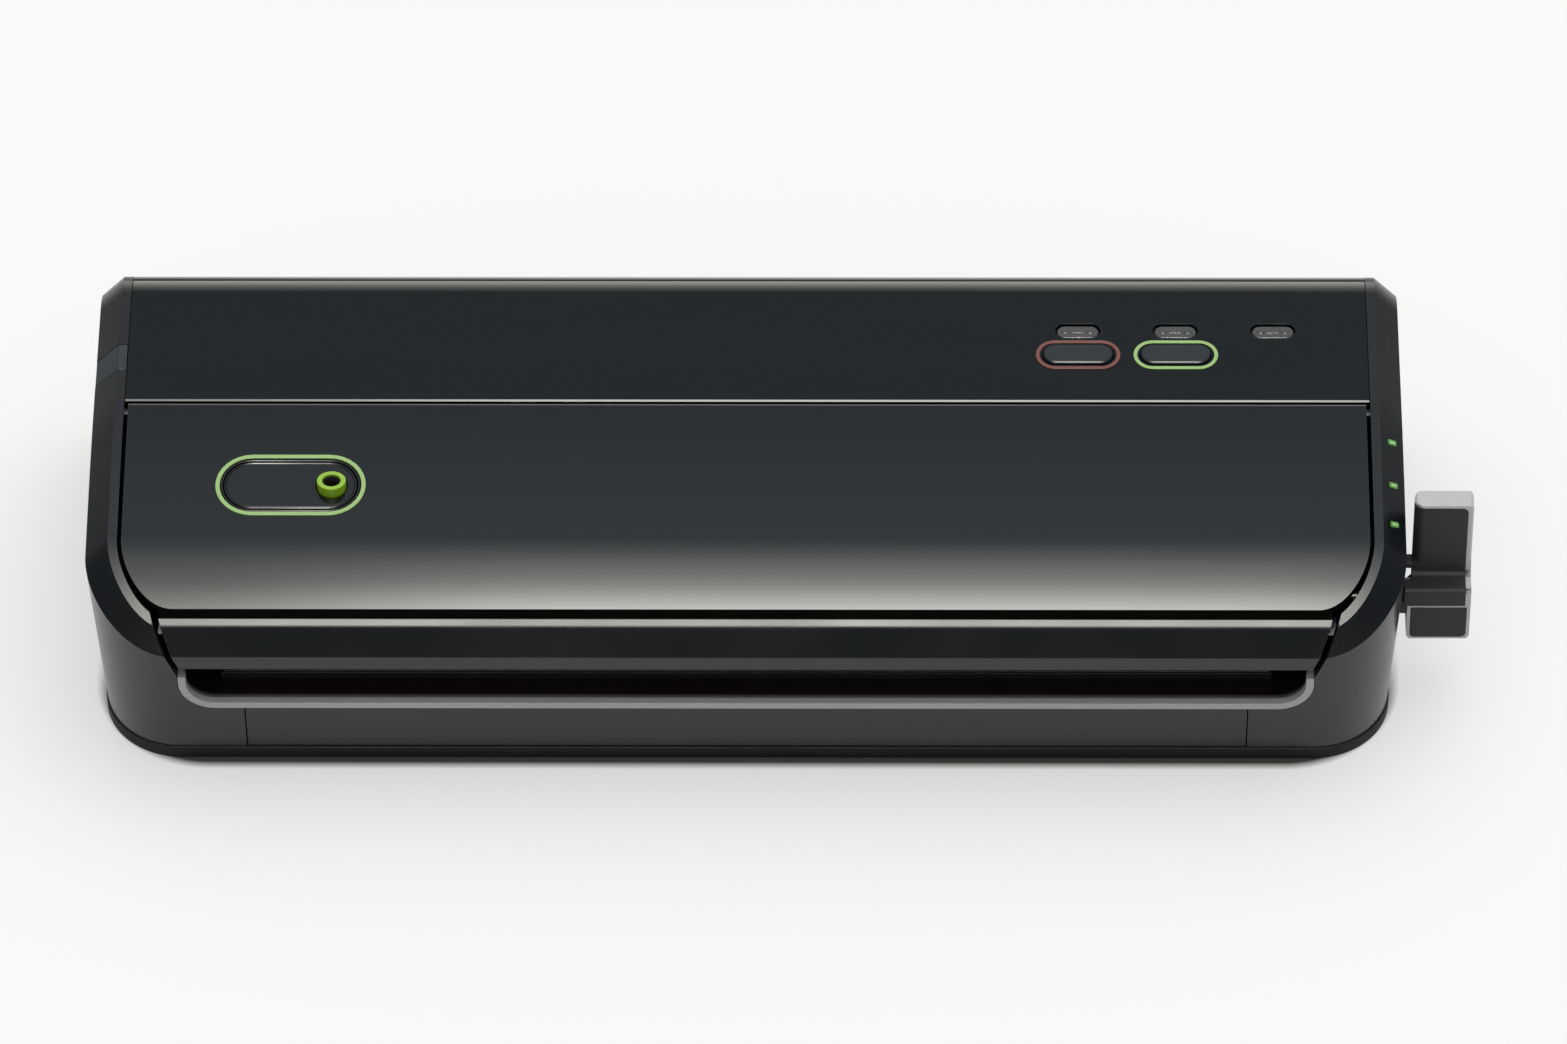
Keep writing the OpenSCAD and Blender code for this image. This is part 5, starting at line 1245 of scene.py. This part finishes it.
class SEALER_OT_port(bpy.types.Operator):
    """Makes the accessory port: outline, stepped plate, tube and its dark bore"""

    bl_idname = "sealer.port"
    bl_label = "Accessory port"

    def execute(self, context):
        for name, (length, width, thick, z0, z1, finish, edge) in PORT_RINGS.items():
            ring = pill_ring((length, width), (length - 2 * thick, width - 2 * thick), z0, z1)
            nodes = ["accessory_trim"] if name == "port_outline" else ["accessory_plate"]
            make_piece(name, on_port(chamfered(ring, edge), PORT_X), "lid", finish, nodes)
        for name, (length, width, z0, z1, play, finish, edge) in PORT_PLATES.items():
            hole = place(rod_z(-3, 3, TUBE_R + play, 96), (TUBE_X - PORT_X, 0, 0))
            plate = combine(pill_block(length, width, z0, z1), [("DIFFERENCE", hole)])
            plate = on_port(plate, PORT_X)
            make_piece(name, plate, "lid", finish, ["accessory_plate"], bevel=edge)
        tube = combine(
            rod_z(-7.0, TUBE_H - 0.6, TUBE_R, 96), [("DIFFERENCE", rod_z(-9.0, 6.0, TUBE_HOLE_R, 72))]
        )
        slope_mouth(tube)
        make_piece(
            "port_tube", on_port(tube, TUBE_X), "lid", "port_green", ["accessory_port"],
            bevel=0.5, segments=4,
        )
        bore = combine(
            rod_z(-6.8, TUBE_H - 1.5, TUBE_HOLE_R + 0.02, 72),
            [("DIFFERENCE", rod_z(-9, 6, TUBE_HOLE_R - 0.25, 72))],
        )
        slope_mouth(bore)
        bore = on_port(bore, TUBE_X)
        make_piece("port_bore", bore, "lid", "gasket_rubber", ["accessory_port"])
        return {"FINISHED"}


def button_cap():
    """Cap of a button about the origin: its foot stays under the collar."""
    return combine(chamfered(pill_block(*BUTTON, 70.5, TOP_Z + 0.92), 0.36), [
        ("UNION", pill_block(BUTTON[0] + 3, BUTTON[1] + 2.6, 69.3, 70.4)),
        ("UNION", pill_block(BUTTON[0] - 1, BUTTON[1] - 1, 69.8, 71.5)),
    ])


def window_block():
    """Window over two lamps: sunken pill with a lens at each end and a bar between them."""
    tools = [
        ("UNION", chamfered(pill_block(4.6, 1.5, 73.0, 74.75, 0, 0.1), 0.25)),
        ("UNION", pill_block(WINDOW[0] - 3, 3.4, 69.5, 73.0)),
    ]
    for x in (-3.6, 3.6):
        tools.append(("UNION", chamfered(pill_block(2.2, 1.8, 73.0, 74.85, x, 0.1), 0.3)))
    return combine(chamfered(pill_block(WINDOW[0], WINDOW[1], 72.5, 74.6), 0.3), tools)


class SEALER_OT_controls(bpy.types.Operator):
    """Makes the buttons, outlines, windows and lamps"""

    bl_idname = "sealer.controls"
    bl_label = "Controls"

    def execute(self, context):
        soften_nodes(CONTROLS)
        for i, kind in enumerate(("seal", "vacuum")):
            x = CONTROL_X + i * CONTROL_PITCH
            make_piece(
                kind + "_button_cap", place(button_cap(), (x, BUTTON_Y, 0)), kind + "_button", "button_black",
                [kind + "_button"],
            )
        for i in range(3):
            window = place(window_block(), (CONTROL_X + i * CONTROL_PITCH, WINDOW_Y, 0))
            make_piece(
                f"lamp_window_{i + 1}", window, "housing", "window_clear", ["led_windows"],
            )
        return {"FINISHED"}


# Lever: sizes seen from the side (Y, Z) and from the front (X, Z)
LEVER_IN, LEVER_OUT = 192.5, 209.6
LEVER_TOP, LEVER_LOW = 70.8, 20.8
FOOT_IN = 191.3
PADDLE_Y = (-29.0, -22.7)
LEDGE_Y, LEDGE_Z = -35.9, (35.2, 42.0)
FOOT_Y = -35.6
RIM_T = 1.7
FOOT_RIM = 1.1


def lever_solid():
    """Whole lever: paddle, ledge and lower block with rounded corners."""
    side = [
        (PADDLE_Y[0], LEVER_TOP),
        (PADDLE_Y[1], LEVER_TOP),
        (PADDLE_Y[1], LEVER_LOW),
        (FOOT_Y, LEVER_LOW),
        (FOOT_Y, LEDGE_Z[0]),
        (LEDGE_Y, LEDGE_Z[0]),
        (LEDGE_Y, LEDGE_Z[1]),
        (PADDLE_Y[0], LEDGE_Z[1]),
    ]
    front = [
        (FOOT_IN, LEVER_LOW),
        (LEVER_OUT, LEVER_LOW),
        (LEVER_OUT, LEDGE_Z[0]),
        (LEVER_OUT, LEDGE_Z[1] + 10),
        (LEVER_OUT, LEVER_TOP),
        (LEVER_IN, LEVER_TOP),
        (LEVER_IN, LEDGE_Z[0]),
        (FOOT_IN, LEDGE_Z[0]),
    ]
    plan, low_plan = (
        [(inner, -45), (LEVER_OUT, -45), (LEVER_OUT, PADDLE_Y[1]), (inner, PADDLE_Y[1])]
        for inner in (LEVER_IN, FOOT_IN)
    )
    rounds = (0, 0, 1.6, 3.0)
    lower = prism(low_plan, rounds, LEDGE_Z[0] - 15, 10)
    upright = combine(prism(plan, rounds, 60, 10), [("UNION", lower)])
    body = bar_x(FOOT_IN, LEVER_OUT, side, (0.7, 0.7, 1.0, 0.5, 0, 0.4, 1.2, 1.6), 10)
    corner = prism([(x, y + 16) for x, y in plan], (3.0, 0.9, 0, 0), 30, 10)
    steps = [
        ("INTERSECT", bar_y(-45, -15, front, (2.2, 2.2, 0, 0, 1.8, 1.2, 0, 0), 12)),
        ("INTERSECT", place(upright, (0, 0, 15))),
        ("DIFFERENCE", combine(
            block(LEVER_IN - 1, LEVER_OUT + 1, -40, PADDLE_Y[0] + 3.2, LEDGE_Z[1] + 5, 80),
            [("DIFFERENCE", place(corner, (0, 0, LEDGE_Z[1] + 4)))],
        )),
    ]
    return combine(body, steps)


def lever_inlay(grow=0.0):
    """Room of the dark cover: the front face inside a narrow rim, and the whole side to the body."""
    right = LEVER_OUT - RIM_T
    face = [
        (LEVER_IN - 4, LEDGE_Z[0]),
        (right + grow, LEDGE_Z[0]),
        (right + grow, LEDGE_Z[1] + 10),
        (right + grow, LEVER_TOP - 1.3 + grow),
        (LEVER_IN - 4, LEVER_TOP - 1.3 + grow),
    ]
    paddle = bar_y(-45, PADDLE_Y[0] + 1.7 + grow, face, (0, 0, 0, 1.9, 0), 12)
    foot = [
        (FOOT_IN + FOOT_RIM - grow, LEVER_LOW + FOOT_RIM - grow),
        (LEVER_OUT - FOOT_RIM + grow, LEVER_LOW + FOOT_RIM - grow),
        (LEVER_OUT - FOOT_RIM + grow, LEDGE_Z[0] - 0.8 + grow),
        (FOOT_IN + FOOT_RIM - grow, LEDGE_Z[0] - 0.8 + grow),
    ]
    ledge = block(LEVER_IN - 4, right + grow, -45, PADDLE_Y[0] + 2.5, LEDGE_Z[0] - grow, LEDGE_Z[1])
    return combine(paddle, [
        ("UNION", ledge),
        ("UNION", block(LEVER_IN - 4, LEVER_IN + 1.9 + grow, -45, -15, LEDGE_Z[0], LEVER_TOP - 1.3 + grow)),
        ("UNION", bar_y(-45, FOOT_Y + 1.3 + grow, foot, (1.6, 1.6, 0.4, 0.4), 10)),
    ])


def lever_bores():
    """Room in the lever for its spindle and for the screw."""
    return [
        ("DIFFERENCE", rod_x(180, 201.5, *LEVER_AXIS, SPINDLE_R)),
        ("DIFFERENCE", rod_x(180, 215, *LEVER_AXIS, SCREW_R)),
    ]


class SEALER_OT_lever(bpy.types.Operator):
    """Makes the lever: light shell, dark cover with its neck, and the hub on the shaft"""

    bl_idname = "sealer.lever"
    bl_label = "Lever"

    def execute(self, context):
        head_seat = ("DIFFERENCE", rod_x(204.6, 215, *LEVER_AXIS, 3.1))
        shell = combine(lever_solid(), [("DIFFERENCE", lever_inlay(0.12)), *lever_bores(), head_seat])
        make_piece(
            "lever_shell_moulding", shell, "lever", "lever_grey", ["lever_shell"],
            bevel=0.35, segments=4, limit=30, smooth=30,
        )
        neck = [(LEDGE_Y, LEDGE_Z[0]), (LEDGE_Y, LEDGE_Z[1]), (-30.4, LEDGE_Z[1]), (-30.4, LEDGE_Z[0])]
        neck = bar_x(190.4, LEVER_IN + 1, neck, (0.4, 1.2, 1.6, 0), 8)
        web = bar_x(190.5, LEVER_IN + 1, [(-29, 43.6), (-29, 46.4), (-25, 46.4), (-25, 43.6)], (1.0,) * 4, 6)
        cover = combine(lever_inlay(), [
            ("INTERSECT", lever_solid()),
            ("UNION", rod_x(189.4, LEVER_IN + 0.8, *LEVER_AXIS, 5.2, 72)),
            ("UNION", neck),
            ("UNION", web),
            *lever_bores(),
        ])
        make_piece(
            "lever_cover_moulding", cover, "lever", "lever_dark", ["lever_cover"],
            bevel=0.22, segments=3, limit=30, smooth=30,
        )
        return {"FINISHED"}


class SEALER_OT_latch(bpy.types.Operator):
    """Makes the lever's screw and shafts, the link, the hooks, the latch switch and the hinge pins"""

    bl_idname = "sealer.latch"
    bl_label = "Latch"

    def execute(self, context):
        soften_nodes(LATCH)
        return {"FINISHED"}


class SEALER_OT_works(bpy.types.Operator):
    """Makes the pump, motor, fan, hose, valve, boards, transformer, switches and housing screws"""

    bl_idname = "sealer.works"
    bl_label = "Inner works"

    def execute(self, context):
        soften_nodes(WORKS)
        return {"FINISHED"}


class SEALER_OT_studio(bpy.types.Operator):
    """Makes the floor, the soft light and the camera"""

    bl_idname = "sealer.studio"
    bl_label = "Studio"

    def execute(self, context):
        studio = context.scene.sealer_studio
        bm = fresh()
        bmesh.ops.create_grid(bm, x_segments=1, y_segments=1, size=6.0)
        data = bpy.data.meshes.new("floor")
        bm.to_mesh(data)
        bm.free()
        floor = bpy.data.objects.new("floor", data)
        context.scene.collection.objects.link(floor)
        wires, shader = principled("studio_floor")
        spot = wires.node("ShaderNodeTexCoord")
        cloud = wires.noise(spot.outputs["Object"], 3.0, 2.0, 0.5)
        paler = tuple(min(1.0, c * 1.01) for c in studio.floor_colour)
        # Painted contact shadow: the floor turns dark where it touches the sealer's front
        place_xyz = wires.node("ShaderNodeSeparateXYZ")
        wires.link(spot.outputs["Object"], place_xyz.inputs["Vector"])
        x, y = place_xyz.outputs["X"], place_xyz.outputs["Y"]
        squares = []
        for along, half in ((x, PAINTED_SHADOW_HALF[0]), (y, PAINTED_SHADOW_HALF[1])):
            past = wires.math("SUBTRACT", wires.math("ABSOLUTE", along), (half - PAINTED_SHADOW_R) * MM)
            squares.append(wires.math("POWER", wires.math("MAXIMUM", past, 0.0), 2.0))
        off = wires.math("SQRT", wires.math("ADD", *squares))
        rim = [(PAINTED_SHADOW_R + edge) * MM for edge in PAINTED_SHADOW_EDGE]
        # Strength of the painted shadow, fading over its soft edge and towards the sealer's middle
        near = wires.spread(off, 1.0, 0.0, *rim)
        near = wires.math("MULTIPLY", near, wires.spread(y, 1.0, 0.0, -0.05, -0.01))
        pale = wires.mix(cloud, tuple(studio.floor_colour), paler)
        # The painted shadow darkens the floor's colour and its glow alike
        wires.link(wires.mix(near, pale, PAINTED_SHADOW_COLOUR), shader.inputs["Base Color"])
        wires.link(wires.mix(near, (1.0, 1.0, 0.99), PAINTED_SHADOW_COLOUR), shader.inputs["Emission Color"])
        shader.inputs["Roughness"].default_value = 0.9
        shader.inputs["Specular IOR Level"].default_value = 0.1
        shader.inputs["Emission Strength"].default_value = studio.floor_glow
        # The floor looks darker in reflections far from the sealer, as behind black flags
        flags = wires.node("ShaderNodeVectorMath", operation="LENGTH")
        wires.link(spot.outputs["Object"], flags.inputs[0])
        far = wires.spread(flags.outputs["Value"], 0.0, 0.9, 0.26, 0.6)
        reflected = wires.node("ShaderNodeLightPath").outputs["Is Glossy Ray"]
        dark = wires.node("ShaderNodeBsdfDiffuse")
        dark.inputs["Color"].default_value = (0.02, 0.02, 0.02, 1.0)
        both = wires.node("ShaderNodeMixShader")
        wires.link(wires.math("MULTIPLY", far, reflected), both.inputs[0])
        wires.link(shader.outputs["BSDF"], both.inputs[1])
        wires.link(dark.outputs["BSDF"], both.inputs[2])
        surface = find_node("studio_floor", "OUTPUT_MATERIAL")
        wires.link(both.outputs["Shader"], surface.inputs["Surface"])
        data.materials.append(bpy.data.materials[OWN + "studio_floor"])
        self.light(context, studio)
        self.camera(context, studio)
        return {"FINISHED"}

    def light(self, context, studio):
        world = bpy.data.worlds.new("studio")
        context.scene.world = world
        world.use_nodes = True
        tree = world.node_tree
        tree.nodes.clear()
        w = Wiring(tree)
        towards = w.node("ShaderNodeTexCoord").outputs["Generated"]
        parts = w.node("ShaderNodeSeparateXYZ")
        w.link(towards, parts.inputs["Vector"])
        x, y, z = (parts.outputs[name] for name in "XYZ")

        def lobe(direction, power, strength):
            dot = w.node("ShaderNodeVectorMath", operation="DOT_PRODUCT")
            w.link(towards, dot.inputs[0])
            dot.inputs[1].default_value = Vector(direction).normalized()
            near = w.math("MAXIMUM", dot.outputs["Value"], 0.0)
            return w.math("MULTIPLY", w.math("POWER", near, power), strength)

        def over_front(tilt):
            return (0.0, -math.sin(math.radians(tilt)), math.cos(math.radians(tilt)))

        def total(*terms):
            out = terms[0]
            for term in terms[1:]:
                out = w.math("ADD", out, term)
            return out

        # What shines in the glossy covers: a softbox high in front, a card low behind, and the dim room
        aside = w.math("ABSOLUTE", x)
        square = w.math("POWER", w.math("DIVIDE", aside, studio.softbox_half), 2.0)
        narrow = w.math("POWER", 2.718, w.math("MULTIPLY", square, -1.0))
        cut = w.spread(z, 0.0, 1.0, 0.34, 0.5)
        softbox = total(
            lobe(over_front(52), 30.0, 0.6 * studio.softbox),
            lobe(over_front(52), 3.4, 0.4 * studio.softbox),
            lobe(over_front(58), 140.0, 0.9 * studio.softbox),
        )
        # It stands between two more boxes, with a dim gap on each side of it
        far_side = w.spread(aside, 1.0, 0.0, 0.09, 0.16)
        gap = w.math("MULTIPLY", w.spread(aside, 0.0, 0.55, 0.036, 0.064), far_side)
        softbox = w.math("MULTIPLY", softbox, w.math("SUBTRACT", 1.0, gap))
        softbox = w.math("MULTIPLY", w.math("MULTIPLY", softbox, narrow), cut)
        card_low = w.spread(z, 1.0, 0.0, 0.2, 0.66)
        card = w.math("MULTIPLY", w.spread(y, 0.0, studio.back_card, 0.15, 0.6), card_low)
        card = w.math("MULTIPLY", card, narrow)
        overhead = w.spread(z, 0.0, 1.6 * studio.room, ROOM_Z, 1.0)
        room = w.math("ADD", w.spread(z, 0.09, studio.room, 0.0, ROOM_Z), overhead)
        shown = total(softbox, card, room)

        # What lights matt surfaces: a broad softbox above, behind and to the right, and fill all round
        fill = w.spread(z, studio.fill * 0.7, studio.fill, -0.1, 0.6)
        broad = total(lobe((0.18, 0.30, 0.93), 5.0, studio.top_light), fill)

        paths = w.node("ShaderNodeLightPath")
        lit = total(
            broad,
            w.math("MULTIPLY", paths.outputs["Is Glossy Ray"], w.math("SUBTRACT", shown, broad)),
            w.math("MULTIPLY", paths.outputs["Is Camera Ray"], w.math("SUBTRACT", BACKDROP, broad)),
        )
        # The softbox is a little warm and the room a little cool, in reflections alone
        inverse = w.math("DIVIDE", 1.0, w.math("MAXIMUM", shown, 0.001))
        share = w.math("MULTIPLY", total(softbox, card), inverse)
        tint = w.mix(share, (0.89, 0.985, 1.055), (1.0, 0.975, 0.90))
        shine = w.node("ShaderNodeBackground")
        w.link(w.mix(paths.outputs["Is Glossy Ray"], (1.0, 1.0, 1.0), tint), shine.inputs["Color"])
        w.link(lit, shine.inputs["Strength"])
        w.link(shine.outputs["Background"], w.node("ShaderNodeOutputWorld").inputs["Surface"])
        context.scene.view_settings.view_transform = "Standard"

    def camera(self, context, studio):
        data = bpy.data.cameras.new("camera")
        data.sensor_width = 36.0
        data.lens = studio.lens
        data.clip_start, data.clip_end = 0.05, 50.0
        camera = bpy.data.objects.new("camera", data)
        context.scene.collection.objects.link(camera)
        yaw, pitch = studio.camera_yaw, studio.camera_pitch
        ahead = Vector(
            (math.sin(yaw) * math.cos(pitch), math.cos(yaw) * math.cos(pitch), -math.sin(pitch))
        )
        right = Vector((math.cos(yaw), -math.sin(yaw), 0.0))
        up = right.cross(ahead)
        turn = Matrix((right, up, -ahead)).transposed()
        turn = turn @ Matrix.Rotation(studio.camera_roll, 3, "Z")
        camera.matrix_world = Matrix.Translation(studio.camera_place) @ turn.to_4x4()
        context.scene.camera = camera


OPERATORS = [
    SEALER_OT_materials,
    SEALER_OT_lid,
    SEALER_OT_control_panel,
    SEALER_OT_end_caps,
    SEALER_OT_housing,
    SEALER_OT_deck,
    SEALER_OT_lid_parts,
    SEALER_OT_port,
    SEALER_OT_controls,
    SEALER_OT_lever,
    SEALER_OT_latch,
    SEALER_OT_works,
    SEALER_OT_studio,
]


class SEALER_PT_panel(bpy.types.Panel):
    """Sidebar panel with the sealer's sizes, colours and steps"""

    bl_idname = "SEALER_PT_panel"
    bl_label = "Vacuum Sealer"
    bl_space_type = "VIEW_3D"
    bl_region_type = "UI"
    bl_category = "Sealer"

    def draw(self, context):
        column = self.layout.column(align=True)
        for operator in OPERATORS:
            column.operator(operator.bl_idname)
        for group in (context.scene.sealer_edges, context.scene.sealer_studio, context.scene.sealer_finish):
            box = self.layout.box().column(align=True)
            for name in group.__annotations__:
                box.prop(group, name)


GROUP_CLASSES = {"sealer_finish": SealerFinish, "sealer_edges": SealerEdges, "sealer_studio": SealerStudio}


def register():
    """Adds the classes and their settings to Blender."""
    for cls in [*GROUP_CLASSES.values(), *OPERATORS, SEALER_PT_panel]:
        bpy.utils.register_class(cls)
    for name, cls in GROUP_CLASSES.items():
        setattr(bpy.types.Scene, name, PointerProperty(type=cls))


def unregister():
    """Takes the classes and their settings out again."""
    for name in GROUP_CLASSES:
        delattr(bpy.types.Scene, name)
    for cls in [SEALER_PT_panel, *reversed(OPERATORS), *reversed(list(GROUP_CLASSES.values()))]:
        bpy.utils.unregister_class(cls)


def main():
    """Builds every piece and the studio."""
    register()
    for operator in OPERATORS:
        group, name = operator.bl_idname.split(".")
        getattr(getattr(bpy.ops, group), name)()


if __name__ == "__main__":
    main()
